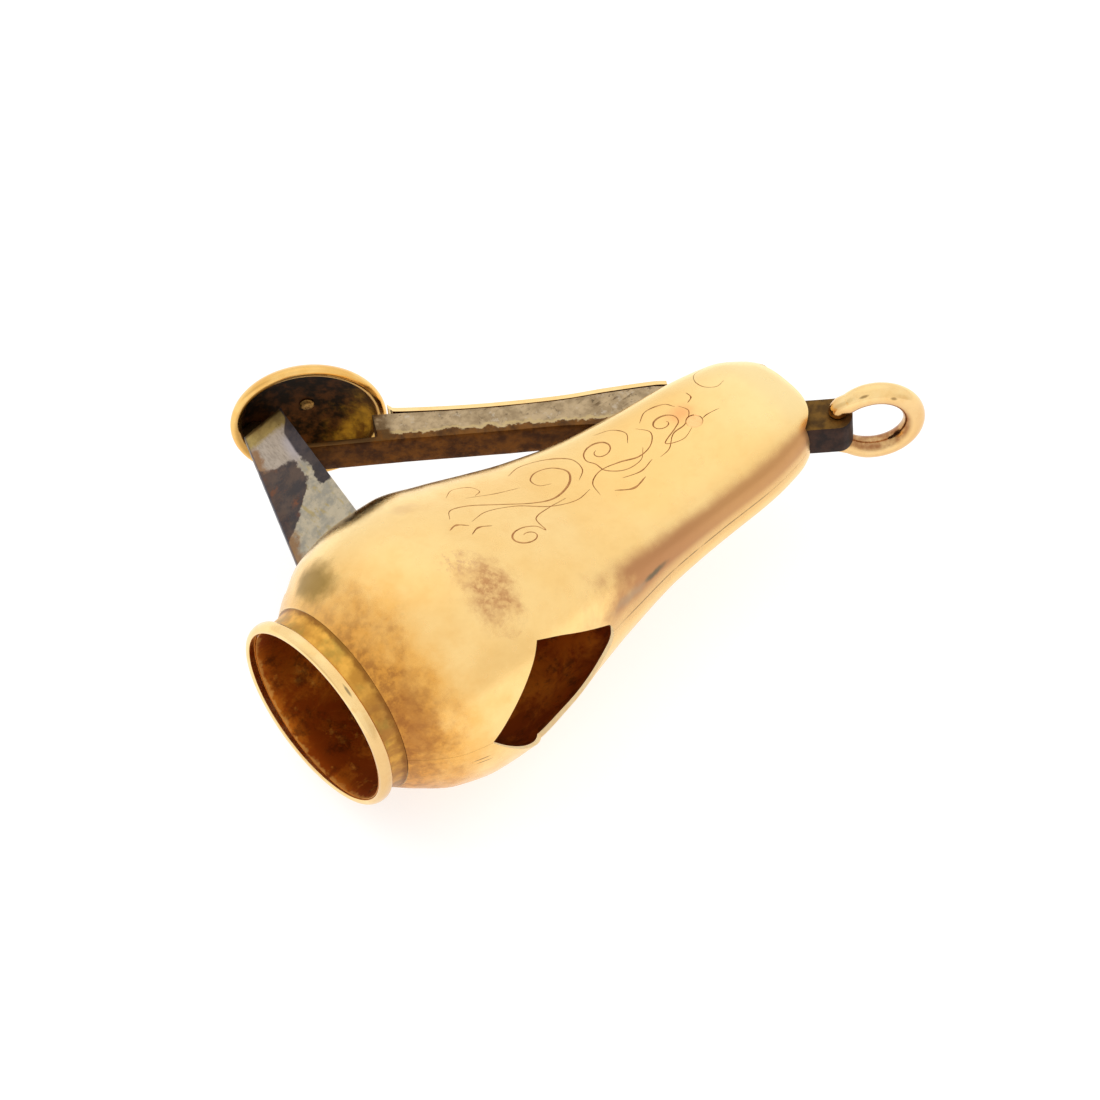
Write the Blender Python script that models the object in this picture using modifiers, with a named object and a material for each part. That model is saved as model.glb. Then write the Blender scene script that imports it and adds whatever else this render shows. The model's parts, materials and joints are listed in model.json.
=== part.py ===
"""Pocket cigar cutter: a hollow gold case with a rimmed mouth, a sprung steel lever with a V-section
blade and a gold thumb-piece, and a bow ring on the lever's tail tab.

Everything is drawn in mm about the centre of the mouth: +X runs from the mouth to the tail, +Y is
the lever's side, +Z is the front face. The lever is drawn closed about its pivot and then turned
open by OPEN_ANGLE. At the end the whole object moves by FRAME_SHIFT, so that the origin is the
bottom centre of its box.
"""

import math

import bmesh
import bpy
from mathutils import Matrix, Vector

MM = 0.001
FRAME_SHIFT = (-22.175, -6.712, 8.42)

# Dimensions shared by several sections; the others stand at the head of their own section
PIVOT = (31.6, 0.6)
OPEN_ANGLE = 26.0
PIN_R = 0.55
BAR_HALF = 1.15
TAB_HOLE = (40.8, 0.0)

GOLD = (0.83, 0.56, 0.24, 1.0)
GOLD_RIM = (0.90, 0.67, 0.33, 1.0)
GOLD_DULL = (0.55, 0.36, 0.14, 1.0)
STEEL = (0.42, 0.40, 0.38, 1.0)
STEEL_BLADE = (0.36, 0.34, 0.34, 1.0)
SPRING_STEEL = (0.20, 0.18, 0.17, 1.0)
COPPER = (0.62, 0.34, 0.20, 1.0)


# Scene and objects ------------------------------------------------------------------------------


def clear_scene():
    for obj in list(bpy.data.objects):
        bpy.data.objects.remove(obj, do_unlink=True)


def new_collection(name):
    made = bpy.data.collections.new(name)
    bpy.context.scene.collection.children.link(made)
    return made


clear_scene()
parts = new_collection("pocket_cigar_cutter")
cutters = new_collection("cutters")


def metal(name, colour, roughness):
    made = bpy.data.materials.new(name)
    made.use_nodes = True
    shader = made.node_tree.nodes["Principled BSDF"]
    shader.inputs["Base Color"].default_value = colour
    shader.inputs["Roughness"].default_value = roughness
    shader.inputs["Metallic"].default_value = 1.0
    made.diffuse_color = colour
    return made


def add_object(name, mesh, collection, parent):
    mesh.name = name
    obj = bpy.data.objects.new(name, mesh)
    collection.objects.link(obj)
    obj.parent = parent
    return obj


def place(name, mesh, colour, roughness, parent=None):
    """A part in the parts collection, with its own material."""
    mesh.materials.append(metal(name, colour, roughness))
    return add_object(name, mesh, parts, parent)


def cutter(name, mesh, parent=None):
    """A hidden helper that booleans refer to."""
    obj = add_object(name, mesh, cutters, parent)
    obj.hide_render = True
    obj.display_type = "WIRE"
    return obj


def add_axis(name, centre):
    """An empty at a point in XY, for parts that turn together."""
    axis = bpy.data.objects.new(name, None)
    parts.objects.link(axis)
    axis.location = (centre[0] * MM, centre[1] * MM, 0.0)
    return axis


def boolean(obj, other, operation="DIFFERENCE"):
    modifier = obj.modifiers.new(f"{operation.lower()}_{other.name}", "BOOLEAN")
    modifier.operation = operation
    modifier.object = other
    modifier.solver = "EXACT"


def smooth(obj, degrees=35):
    obj.data.shade_smooth()
    obj.data.set_sharp_from_angle(angle=math.radians(degrees))


# Meshes: sizes in mm ----------------------------------------------------------------------------


def mesh_of(build):
    """The mesh that build draws into an empty bmesh."""
    mesh = bpy.data.meshes.new("mesh")
    work = bmesh.new()
    build(work)
    bmesh.ops.recalc_face_normals(work, faces=work.faces)
    work.to_mesh(mesh)
    work.free()
    return mesh


def box_mesh(low, high):
    """A box between two corners."""
    middle = [(a + b) / 2 * MM for a, b in zip(low, high)]
    size = [(b - a) * MM for a, b in zip(low, high)]

    def build(work):
        bmesh.ops.create_cube(work, size=1.0)
        bmesh.ops.scale(work, vec=size, verts=work.verts)
        bmesh.ops.translate(work, vec=middle, verts=work.verts)

    return mesh_of(build)


def rod_mesh(centre, radius, low, high, segments):
    """A round bar along Z."""

    def build(work):
        bmesh.ops.create_cone(
            work,
            cap_ends=True,
            segments=segments,
            radius1=radius * MM,
            radius2=radius * MM,
            depth=(high - low) * MM,
        )
        middle = (centre[0] * MM, centre[1] * MM, (low + high) / 2 * MM)
        bmesh.ops.translate(work, vec=middle, verts=work.verts)

    return mesh_of(build)


def mesh_from_curve(curve):
    holder = bpy.data.objects.new("curve_holder", curve)
    bpy.context.scene.collection.objects.link(holder)
    bpy.context.view_layer.update()
    graph = bpy.context.evaluated_depsgraph_get()
    filled = bpy.data.meshes.new_from_object(holder.evaluated_get(graph))
    bpy.data.objects.remove(holder, do_unlink=True)

    def build(work):
        work.from_mesh(filled)
        bmesh.ops.remove_doubles(work, verts=work.verts, dist=1e-6)

    mesh = mesh_of(build)
    bpy.data.meshes.remove(filled)
    return mesh


def outline_mesh(outline, half):
    """A flat outline in XY with a thickness of twice half along Z."""
    curve = bpy.data.curves.new("outline", "CURVE")
    curve.dimensions = "2D"
    curve.fill_mode = "BOTH"
    curve.extrude = half * MM
    spline = curve.splines.new("POLY")
    spline.points.add(len(outline) - 1)
    for point, (x, y) in zip(spline.points, outline):
        point.co = (x * MM, y * MM, 0.0, 1.0)
    spline.use_cyclic_u = True
    return mesh_from_curve(curve)


def profile_mesh(profile, closed):
    """A line of (radius, height) points, outer side first, to be turned about Z."""
    points = [(radius * MM, 0.0, height * MM) for radius, height in profile]
    edges = [(i, i + 1) for i in range(len(points) - 1)]
    if closed:
        edges.append((len(points) - 1, 0))
    mesh = bpy.data.meshes.new("profile")
    mesh.from_pydata(points, edges, [])
    return mesh


def turn_profile(obj, steps):
    turn = obj.modifiers.new("turn", "SCREW")
    turn.steps = turn.render_steps = steps
    turn.use_merge_vertices = True
    turn.merge_threshold = 1e-6
    turn.use_smooth_shade = True


def lathe(name, profile, closed, steps, colour, roughness):
    """A part turned about the object's Z axis."""
    obj = place(name, profile_mesh(profile, closed), colour, roughness)
    turn_profile(obj, steps)
    return obj


def left_of(direction):
    """A direction in XY turned by 90 degrees anticlockwise."""
    return Vector((-direction.y, direction.x))


def about_pivot(points):
    return [(x - PIVOT[0], y - PIVOT[1]) for x, y in points]


# Case skin --------------------------------------------------------------------------------------

# Station along X, half width (Y), half depth (Z), squareness of the section
CASE_STATIONS = (
    (2.46, 6.50, 6.48, 2.00),
    (3.53, 7.42, 7.05, 2.02),
    (5.60, 8.60, 8.00, 2.08),
    (8.15, 9.05, 8.42, 2.20),
    (11.2, 9.10, 7.95, 2.35),
    (14.3, 8.32, 6.81, 2.55),
    (17.4, 7.43, 5.46, 2.80),
    (20.5, 6.75, 4.15, 3.00),
    (24.6, 5.95, 3.22, 3.20),
    (28.7, 5.55, 2.86, 3.20),
    (32.8, 5.25, 2.70, 3.20),
    (35.9, 4.65, 2.60, 3.20),
    (37.9, 3.68, 2.08, 3.00),
    (39.1, 2.60, 1.30, 2.60),
    (39.66, 1.20, 0.45, 2.20),
)
CASE_RINGS = 30
CASE_AROUND = 40
RING_CROWDING = 0.09
CASE_WALL = 0.36
SEAM_HALF = 0.02


def station_value(x, column):
    """A column of the station table at x, by a cubic whose slopes are harmonic means."""
    table = CASE_STATIONS
    last = len(table) - 1
    if x >= table[last][0]:
        return table[last][column]

    def chord(i):
        return (table[i + 1][column] - table[i][column]) / (table[i + 1][0] - table[i][0])

    def slope(i):
        if i == 0:
            return chord(0)
        if i == last:
            return chord(last - 1)
        before, after = chord(i - 1), chord(i)
        if before * after <= 0:
            return 0.0
        return 2 * before * after / (before + after)

    i = max(k for k in range(last) if table[k][0] <= x)
    span = table[i + 1][0] - table[i][0]
    t = (x - table[i][0]) / span
    return (
        (2 * t**3 - 3 * t**2 + 1) * table[i][column]
        + (t**3 - 2 * t**2 + t) * span * slope(i)
        + (-2 * t**3 + 3 * t**2) * table[i + 1][column]
        + (t**3 - t**2) * span * slope(i + 1)
    )


def case_section(x):
    """Points of the case's section at x: a superellipse."""
    half_width, half_depth, power = (station_value(x, column) for column in (1, 2, 3))
    points = []
    for k in range(CASE_AROUND):
        angle = 2 * math.pi * k / CASE_AROUND
        across, up = math.cos(angle), math.sin(angle)
        y = half_width * math.copysign(abs(across) ** (2 / power), across)
        z = half_depth * math.copysign(abs(up) ** (2 / power), up)
        points.append((x, y, z))
    return points


def case_skin():
    """The case's outer surface, open at the mouth and closed at the tail."""
    start, end = CASE_STATIONS[0][0], CASE_STATIONS[-1][0]

    def build(work):
        rings = []
        for i in range(CASE_RINGS):
            t = i / (CASE_RINGS - 1)
            # rings crowd towards both ends, where the surface turns most
            t = t - RING_CROWDING * math.sin(2 * math.pi * t)
            points = case_section(start + (end - start) * t)
            rings.append([work.verts.new([value * MM for value in point]) for point in points])
        for near, far in zip(rings, rings[1:]):
            for k in range(CASE_AROUND):
                j = (k + 1) % CASE_AROUND
                work.faces.new((near[k], near[j], far[j], far[k]))
        work.faces.new(rings[-1])

    return mesh_of(build)


# Openings in the case ---------------------------------------------------------------------------

# The port is a kite in XZ, cut through the wall on the -Y side
PORT_NEAR_X, PORT_FAR_X = 7.16, 18.2
# Side corner X, side corner Z, bow of the near edge, bow of the far edge
PORT_FRONT = (12.05, 4.75, 0.0, 0.42)
PORT_BACK = (11.95, 5.35, 0.28, 0.66)
PORT_EDGE_STEPS = 6
PORT_FAR_LIFT = 0.75  # widens the far edge towards its corner
PORT_FAR_CORNER = ((0.35, 0.78), (0.05, 0.35))  # distance before PORT_FAR_X, Z
PORT_CUT_Y, PORT_CUT_HALF = -9.0, 4.0

# Opposite corners of the box-shaped openings
TOP_OPENING = ((3.55, 5.5, -3.4), (12.0, 11.0, 3.4))
BAR_SLOT = ((10.5, 3.2, -1.5), (35.4, 11.0, 1.5))
TAIL_SLOT = ((37.0, -6.0, -1.55), (41.0, 2.35, 1.55))
PIN_CLEARANCE = 0.02


def port_half(side_x, side_z, near_bow, far_bow):
    """One half of the port, from the near corner on the seam to the rounded far corner."""
    edge = []
    for k in range(PORT_EDGE_STEPS + 1):
        t = k / PORT_EDGE_STEPS
        x = PORT_NEAR_X + (side_x - PORT_NEAR_X) * t
        edge.append((x, side_z * t + 4 * near_bow * t * (1 - t)))
    for k in range(1, PORT_EDGE_STEPS):
        t = k / PORT_EDGE_STEPS
        x = side_x + (PORT_FAR_X - side_x) * t
        z = side_z * (1 - t) + 4 * far_bow * t * (1 - t) + PORT_FAR_LIFT * t**3
        edge.append((x, z))
    return edge + [(PORT_FAR_X - before, z) for before, z in PORT_FAR_CORNER]


def port_mesh():
    # both halves start at the near corner, so the back half leaves it out
    back = [(x, -z) for x, z in reversed(port_half(*PORT_BACK)[1:])]
    mesh = outline_mesh(port_half(*PORT_FRONT) + back, PORT_CUT_HALF)
    # drawn in XY, then turned so that the outline's second axis is Z and its thickness is along Y
    mesh.transform(Matrix.Rotation(math.pi / 2, 4, "X"))
    mesh.transform(Matrix.Translation((0.0, PORT_CUT_Y * MM, 0.0)))
    return mesh


def make_shells(pin_cut):
    """The case's two shells, parted at the seam plane Z = 0."""
    openings = (
        cutter("port_cut", port_mesh()),
        cutter("top_cut", box_mesh(*TOP_OPENING)),
        cutter("bar_cut", box_mesh(*BAR_SLOT)),
        cutter("tail_cut", box_mesh(*TAIL_SLOT)),
        pin_cut,
    )
    # each shell is what lies in its own half of a box around the case
    for name, low_z, high_z in (
        ("front_shell", SEAM_HALF, 12.0),
        ("back_shell", -12.0, -SEAM_HALF),
    ):
        shell = place(name, case_skin(), colour=GOLD, roughness=0.22)
        wall = shell.modifiers.new("wall", "SOLIDIFY")
        wall.thickness = CASE_WALL * MM
        wall.offset = -1.0
        half_box = box_mesh((0.0, -12.0, low_z), (42.0, 12.0, high_z))
        boolean(shell, cutter(name + "_half", half_box), "INTERSECT")
        for opening in openings:
            boolean(shell, opening)
        smooth(shell)


# Mouth: tube, collar and rolled rim; profile heights run along +X ---------------------------------

MOUTH_STEPS = 64
TUBE_INNER, TUBE_OUTER = 5.90, 6.06
TUBE_START, TUBE_END = 0.50, 8.0
TUBE_EDGE, TUBE_TAPER = 0.03, 0.9  # width of the front edge, length of the taper inside it
TUBE_SLOT_START, TUBE_SLOT_HALF = 4.05, 3.4
COLLAR_INNER = TUBE_OUTER + 0.03
COLLAR_OUTER, COLLAR_START, COLLAR_END = 6.22, 0.86, 2.40
RIM_OUTER, RIM_INNER, RIM_REBATE = 6.62, 6.13, 6.32
RIM_FRONT_X, RIM_LENGTH, RIM_LIP = 0.18, 1.12, 0.36
RIM_ROUND, RIM_ROUND_LENGTH = 0.28, 0.55
RIM_TILT = 2.3


def lay_along_x(obj):
    obj.rotation_euler = (0.0, math.pi / 2, 0.0)


def make_tube():
    profile = [
        (TUBE_OUTER, TUBE_END),
        (TUBE_OUTER, TUBE_START),
        (TUBE_OUTER - TUBE_EDGE, TUBE_START),
        (TUBE_INNER, TUBE_START + TUBE_TAPER),
        (TUBE_INNER, TUBE_END),
    ]
    tube = lathe("mouth_tube", profile, True, MOUTH_STEPS, colour=GOLD_DULL, roughness=0.4)
    lay_along_x(tube)
    slot = box_mesh(
        (TUBE_SLOT_START, -8.0, -TUBE_SLOT_HALF),
        (TUBE_END + 1.0, 8.0, TUBE_SLOT_HALF),
    )
    boolean(tube, cutter("tube_slot", slot))


def make_collar():
    profile = [
        (COLLAR_OUTER - 0.05, COLLAR_END),
        (COLLAR_OUTER, COLLAR_END - 0.08),
        (COLLAR_OUTER, COLLAR_START),
        (COLLAR_INNER, COLLAR_START),
        (COLLAR_INNER, COLLAR_END),
    ]
    collar = lathe("mouth_collar", profile, True, MOUTH_STEPS, colour=GOLD_DULL, roughness=0.4)
    lay_along_x(collar)


def make_rim():
    """A band with a rounded, flat-faced front edge, rebated behind its lip for the collar."""
    profile = [(RIM_REBATE + 0.10, RIM_LENGTH), (RIM_OUTER - 0.08, RIM_LENGTH - 0.08)]
    for k in range(6):
        angle = math.pi / 2 * k / 5
        radius = RIM_OUTER - RIM_ROUND + RIM_ROUND * math.cos(angle)
        profile.append((radius, RIM_ROUND_LENGTH - RIM_ROUND_LENGTH * math.sin(angle)))
    profile += [
        (RIM_INNER + 0.05, 0.0),
        (RIM_INNER, 0.05),
        (RIM_INNER, RIM_LIP),
        (RIM_REBATE, RIM_LIP),
        (RIM_REBATE, RIM_LENGTH),
    ]
    rim = lathe("mouth_rim", profile, True, MOUTH_STEPS, colour=GOLD_RIM, roughness=0.18)
    rim.matrix_world = (
        Matrix.Translation((RIM_FRONT_X * MM, 0.0, 0.0))
        @ Matrix.Rotation(math.radians(RIM_TILT), 4, "Z")
        @ Matrix.Rotation(math.pi / 2, 4, "Y")
    )


# Pivot ------------------------------------------------------------------------------------------

PIN_HALF = 2.72
PIN_SEGMENTS = 24
WASHER_R = 1.45
WASHER_IN, WASHER_OUT = BAR_HALF + 0.06, 2.24


def make_pin():
    mesh = rod_mesh(PIVOT, PIN_R, -PIN_HALF, PIN_HALF, PIN_SEGMENTS)
    smooth(place("pivot_pin", mesh, colour=COPPER, roughness=0.35))


def make_washers(pin_cut):
    for name, low, high in (
        ("pivot_washer_front", WASHER_IN, WASHER_OUT),
        ("pivot_washer_back", -WASHER_OUT, -WASHER_IN),
    ):
        mesh = rod_mesh(PIVOT, WASHER_R, low, high, segments=28)
        washer = place(name, mesh, colour=GOLD_DULL, roughness=0.4)
        boolean(washer, pin_cut)
        smooth(washer)


# Return spring: a folded leaf, riveted through its lower leg, whose upper leg rises to the bar ----

SPRING_Z = -0.45
SPRING_THICK, SPRING_HALF_WIDTH = 0.28, 0.75
LOWER_LEG = ((29.6, -4.72), (27.5, -4.85), (25.2, -5.02), (22.9, -5.28))
FOLD_CENTRE, FOLD_R = (22.6, -4.28), 1.02
FOLD_START, FOLD_SWEEP, FOLD_STEPS = -97, 170, 8
UPPER_START, UPPER_END, UPPER_STEPS = (22.7, -3.24), (28.3, 4.65), 7
UPPER_BOW = 0.9
UPPER_BOW_DIRECTION = (0.816, -0.578)
SPRING_RIVET_X = 27.6
SPRING_HOLE_Y, SPRING_RIVET_Y = -4.85, -4.88
SPRING_HOLE_R = 0.42
# Radius, height
SPRING_RIVET_PROFILE = (
    (0.0, 0.62), (0.30, 0.60), (0.52, 0.50), (0.66, 0.30),
    (0.66, 0.22), (0.36, 0.22), (0.36, -0.16), (0.0, -0.16),
)


def ribbon(centre, thickness):
    """The outline of a strip of even thickness along a centre line."""
    left, right = [], []
    for i, point in enumerate(centre):
        before = Vector(centre[max(i - 1, 0)])
        after = Vector(centre[min(i + 1, len(centre) - 1)])
        across = left_of((after - before).normalized()) * thickness / 2
        left.append(Vector(point) + across)
        right.append(Vector(point) - across)
    return left + right[::-1]


def spring_line():
    """Lower leg, a round fold, and a bowed upper leg."""
    line = list(LOWER_LEG)
    for k in range(1, FOLD_STEPS):
        angle = math.radians(FOLD_START - k * FOLD_SWEEP / FOLD_STEPS)
        x = FOLD_CENTRE[0] + FOLD_R * math.cos(angle)
        y = FOLD_CENTRE[1] + FOLD_R * math.sin(angle)
        line.append((x, y))
    for k in range(UPPER_STEPS + 1):
        t = k / UPPER_STEPS
        bow = UPPER_BOW * math.sin(math.pi * t)
        line.append(
            tuple(
                start + (end - start) * t + bow * direction
                for start, end, direction in zip(UPPER_START, UPPER_END, UPPER_BOW_DIRECTION)
            )
        )
    return line


def make_spring():
    mesh = outline_mesh(ribbon(spring_line(), SPRING_THICK), SPRING_HALF_WIDTH)
    spring = place("return_spring", mesh, colour=SPRING_STEEL, roughness=0.4)
    spring.location = (0.0, 0.0, SPRING_Z * MM)
    hole = rod_mesh((0.0, 0.0), SPRING_HOLE_R, -1.2, 1.2, segments=20)
    hole.transform(
        Matrix.Translation((SPRING_RIVET_X * MM, SPRING_HOLE_Y * MM, SPRING_Z * MM))
        @ Matrix.Rotation(math.pi / 2, 4, "X")
    )
    boolean(spring, cutter("spring_hole", hole))
    smooth(spring, 30)


def make_spring_rivet():
    """Its head points towards +Y."""
    rivet = lathe(
        "spring_rivet", SPRING_RIVET_PROFILE, False, steps=20, colour=COPPER, roughness=0.4
    )
    rivet.rotation_euler = (-math.pi / 2, 0.0, 0.0)
    rivet.location = (SPRING_RIVET_X * MM, SPRING_RIVET_Y * MM, SPRING_Z * MM)


# Lever bar and cover strip ----------------------------------------------------------------------

PIN_HOLE_R = PIN_R + 0.05
TAB_HOLE_R = 0.62

# Outer edge (+Y) of the bar, from the thumb-piece to the tab; the cover strip follows the arm
BAR_OUTER_START = (13.35, 8.12)
BAR_OUTER_ARM = ((17.2, 7.30), (20.3, 6.70), (24.2, 6.12), (27.0, 5.92), (30.0, 5.62))
BAR_OUTER_END = ((31.6, 5.20), (32.9, 4.35), (33.9, 3.25), (35.2, 2.55))
# Inner edge of the bar, from the tab round the pin's boss and along the arm
BAR_INNER = (
    (33.9, -0.95), (32.7, -1.32), (31.6, -1.42), (30.5, -1.15), (29.7, -0.35), (29.2, 0.9),
    (28.4, 2.35), (26.4, 3.38), (23.6, 4.02), (19.8, 4.67), (16.7, 5.24),
)
TONGUE_ROOT = (13.6, 5.82)
TONGUE_TIP_X = 7.35
TONGUE_SLOPE = 0.82 * math.tan(math.radians(-11.5))
TONGUE_THICK = 0.42

TAB_ANGLE = math.radians(-11.0)
TAB_HALF = 1.28
TAB_END_REACH, TAB_END_POWER = 1.05, 0.7
TAB_END_STEPS = 6
TAB_TOP_LENGTH, TAB_LOW_LENGTH = 4.6, 5.4

COVER_GAP, COVER_THICK = 0.05, 0.32
COVER_START = ((13.30, 8.63), (13.50, 8.37), (13.95, 8.13))
COVER_END = (31.0, 5.45)


def tongue_underside(x, height=0.0):
    """The point at x on the tongue's lower edge, or height above it."""
    return (x, TONGUE_ROOT[1] + (x - TONGUE_ROOT[0]) * TONGUE_SLOPE + height)


def tab_outline():
    """The tail tab with its rounded end, from its outer edge to its inner edge."""
    along = Vector((math.cos(TAB_ANGLE), math.sin(TAB_ANGLE)))
    across = left_of(along)
    hole = Vector(TAB_HOLE)
    outline = [hole + across * TAB_HALF - along * TAB_TOP_LENGTH]
    for k in range(TAB_END_STEPS + 1):
        angle = math.pi / 2 - math.pi * k / TAB_END_STEPS
        reach = 0.0
        if k not in (0, TAB_END_STEPS):
            reach = TAB_END_REACH * math.cos(angle) ** TAB_END_POWER
        outline.append(hole + along * reach + across * TAB_HALF * math.sin(angle))
    outline.append(hole - across * TAB_HALF - along * TAB_LOW_LENGTH)
    return outline


def bar_outline():
    """Thin tongue under the thumb-piece, thick arm, boss about the pin, tail tab."""
    tongue = [
        tongue_underside(TONGUE_ROOT[0]),
        tongue_underside(TONGUE_TIP_X),
        tongue_underside(TONGUE_TIP_X, TONGUE_THICK),
        tongue_underside(13.0, TONGUE_THICK),
        tongue_underside(13.25, TONGUE_THICK + 0.25),
    ]
    outer = [BAR_OUTER_START, *BAR_OUTER_ARM, *BAR_OUTER_END]
    return outer + tab_outline() + list(BAR_INNER) + tongue


def make_bar(lever):
    mesh = outline_mesh(about_pivot(bar_outline()), BAR_HALF)
    bar = place("lever_bar", mesh, colour=STEEL, roughness=0.45, parent=lever)
    for name, centre, radius in (
        ("bar_hole", PIVOT, PIN_HOLE_R),
        ("tab_hole", TAB_HOLE, TAB_HOLE_R),
    ):
        hole = rod_mesh(about_pivot([centre])[0], radius, -3.0, 3.0, segments=24)
        boolean(bar, cutter(name, hole, lever))
    smooth(bar, 30)


def make_cover(lever):
    """The strip that lies on the bar's outer edge."""
    low = [*COVER_START, *((x, y + COVER_GAP) for x, y in BAR_OUTER_ARM), COVER_END]
    high = [(x + 0.02, y + COVER_THICK) for x, y in low]
    mesh = outline_mesh(about_pivot(high + low[::-1]), BAR_HALF + 0.02)
    cover = place("cover_strip", mesh, colour=GOLD, roughness=0.25, parent=lever)
    smooth(cover, 30)


# Thumb-piece: a shallow dome turned about its own axis, hollow side towards the case --------------

THUMB_CENTRE = (8.29, 10.0)
THUMB_R, THUMB_INNER_R = 5.05, 4.38
THUMB_DEPTH, THUMB_WALL = 1.5, 0.32
THUMB_CROWN = THUMB_DEPTH + THUMB_WALL
THUMB_TILT = math.radians(-7.0)
THUMB_STEPS = 56
DOME_STEPS = 9
BEAD_R = (THUMB_R - THUMB_INNER_R) / 2
BEAD_FLATTEN = 0.9
CROWN_HOLE_R = 0.36
BAR_END_NOTCH = ((13.05, 7.0), (16.0, 7.0), (16.0, 9.2), (13.25, 9.2), (13.05, 8.4))
# Radius, height: the shank runs down from the crown to a head in the hollow
THUMB_RIVET_PROFILE = (
    (0.0, THUMB_CROWN + 0.02),
    (0.32, THUMB_CROWN - 0.02),
    (0.32, THUMB_DEPTH - 0.06),
    (0.58, THUMB_DEPTH - 0.06),
    (0.52, THUMB_DEPTH - 0.22),
    (0.34, THUMB_DEPTH - 0.34),
    (0.0, THUMB_DEPTH - 0.38),
)


def dome_arc(radius, depth):
    """Quarter ellipse from the crown (on the axis) to the rim."""
    angles = [math.pi / 2 * k / DOME_STEPS for k in range(DOME_STEPS + 1)]
    return [(radius * math.sin(angle), depth * math.cos(angle)) for angle in angles]


def thumb_profile():
    """Outer dome, a beaded edge, and the hollow."""
    bead = []
    for k in range(1, 6):
        angle = -math.pi * k / 6
        radius = THUMB_R - BEAD_R + BEAD_R * math.cos(angle)
        bead.append((radius, BEAD_R * math.sin(angle) * BEAD_FLATTEN))
    hollow = dome_arc(THUMB_INNER_R, THUMB_DEPTH)[::-1]
    return dome_arc(THUMB_R, THUMB_CROWN) + bead + hollow


def lay_on_thumb_axis(obj, lever):
    """Stand an object's Z axis on the thumb-piece's axis, which leans by THUMB_TILT from +Y."""
    obj.parent = lever
    x, y = about_pivot([THUMB_CENTRE])[0]
    cosine, sine = math.cos(THUMB_TILT), math.sin(THUMB_TILT)
    obj.matrix_local = Matrix.Translation((x * MM, y * MM, 0.0)) @ Matrix((
        (cosine, 0.0, -sine, 0.0),
        (sine, 0.0, cosine, 0.0),
        (0.0, -1.0, 0.0, 0.0),
        (0.0, 0.0, 0.0, 1.0),
    ))


def make_thumb_piece(lever):
    thumb = lathe(
        "thumb_piece", thumb_profile(), False, THUMB_STEPS, colour=GOLD, roughness=0.2
    )
    lay_on_thumb_axis(thumb, lever)
    # the rivet's hole at the crown
    hole = rod_mesh((0.0, 0.0), CROWN_HOLE_R, 0.5, 4.0, segments=20)
    crown_hole = cutter("crown_hole", hole)
    lay_on_thumb_axis(crown_hole, lever)
    boolean(thumb, crown_hole)
    # the notch that lets the bar's end and the cover strip meet the rim
    notch = outline_mesh(about_pivot(BAR_END_NOTCH), BAR_HALF + 0.08)
    boolean(thumb, cutter("bar_end_cut", notch, lever))


def make_thumb_rivet(lever):
    rivet = lathe(
        "thumb_rivet", THUMB_RIVET_PROFILE, False, steps=20, colour=GOLD_DULL, roughness=0.35
    )
    lay_on_thumb_axis(rivet, lever)


# Blade: a V whose ridge runs from root to tip and whose wings point towards the tail --------------

RIDGE_TOP, RIDGE_TIP = (4.0, 9.6), (5.6, -6.4)
ROOT_EXTRA = 2.2  # length above RIDGE_TOP, trimmed by the root cut
BLADE_THICK, TIP_THICK = 0.5, 0.1
TIP_BEVEL = 0.9
NOSE_HALF = 0.22
# Depth of the V behind the ridge, half width across the wings
WING_TOP, WING_TIP = (2.6, 1.95), (5.35, 3.05)
INNER_NOSE_HALF, INNER_NOSE_MIN = 0.03, 0.06
ROOT_GAP_SIDE, ROOT_GAP_CROWN = 0.05, 0.04
ROOT_LINE = ((4.07, 9.65), (6.74, 9.91))
ROOT_LINE_EXTRA, WING_CUT_HEIGHT = 2.0, 4.0
WING_CUT_Z, WING_CUT_HALF = 1.45, 1.75


def blade_section(depth, half_width, thick):
    """A V in (depth, z): blunt nose at depth 0, wings back to half_width; outer then inner side."""
    rise = (half_width - NOSE_HALF) / depth
    shift = thick / math.cos(math.atan(rise))
    nose = max((shift - NOSE_HALF) / rise, INNER_NOSE_MIN) + INNER_NOSE_HALF / rise
    nose_half = NOSE_HALF + rise * nose - shift
    inner_half = half_width - shift
    return [
        (depth, -half_width), (0.0, -NOSE_HALF), (0.0, NOSE_HALF), (depth, half_width),
        (depth, inner_half), (nose, nose_half), (nose, -nose_half), (depth, -inner_half),
    ]


def blade_mesh():
    top = Vector(RIDGE_TOP)
    ridge = Vector(RIDGE_TIP) - top
    along = ridge.normalized()
    across = left_of(along)
    # distance along the ridge, thickness
    stations = (
        (-ROOT_EXTRA, BLADE_THICK),
        (ridge.length - TIP_BEVEL, BLADE_THICK),
        (ridge.length, TIP_THICK),
    )

    def build(work):
        loops = []
        for distance, thick in stations:
            share = max(distance / ridge.length, 0.0)
            depth, half = (a + (b - a) * share for a, b in zip(WING_TOP, WING_TIP))
            loop = []
            for back, z in blade_section(depth, half, thick):
                x, y = about_pivot([top + along * distance + across * back])[0]
                loop.append(work.verts.new((x * MM, y * MM, z * MM)))
            loops.append(loop)
        for near, far in zip(loops, loops[1:]):
            for k in range(8):
                j = (k + 1) % 8
                work.faces.new((near[k], near[j], far[j], far[k]))
        for loop in (loops[0], loops[-1]):
            # the V is capped by two wings and the nose between them
            for corners in ((0, 1, 6, 7), (1, 2, 5, 6), (2, 3, 4, 5)):
                work.faces.new([loop[corner] for corner in corners])

    return mesh_of(build)


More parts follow.
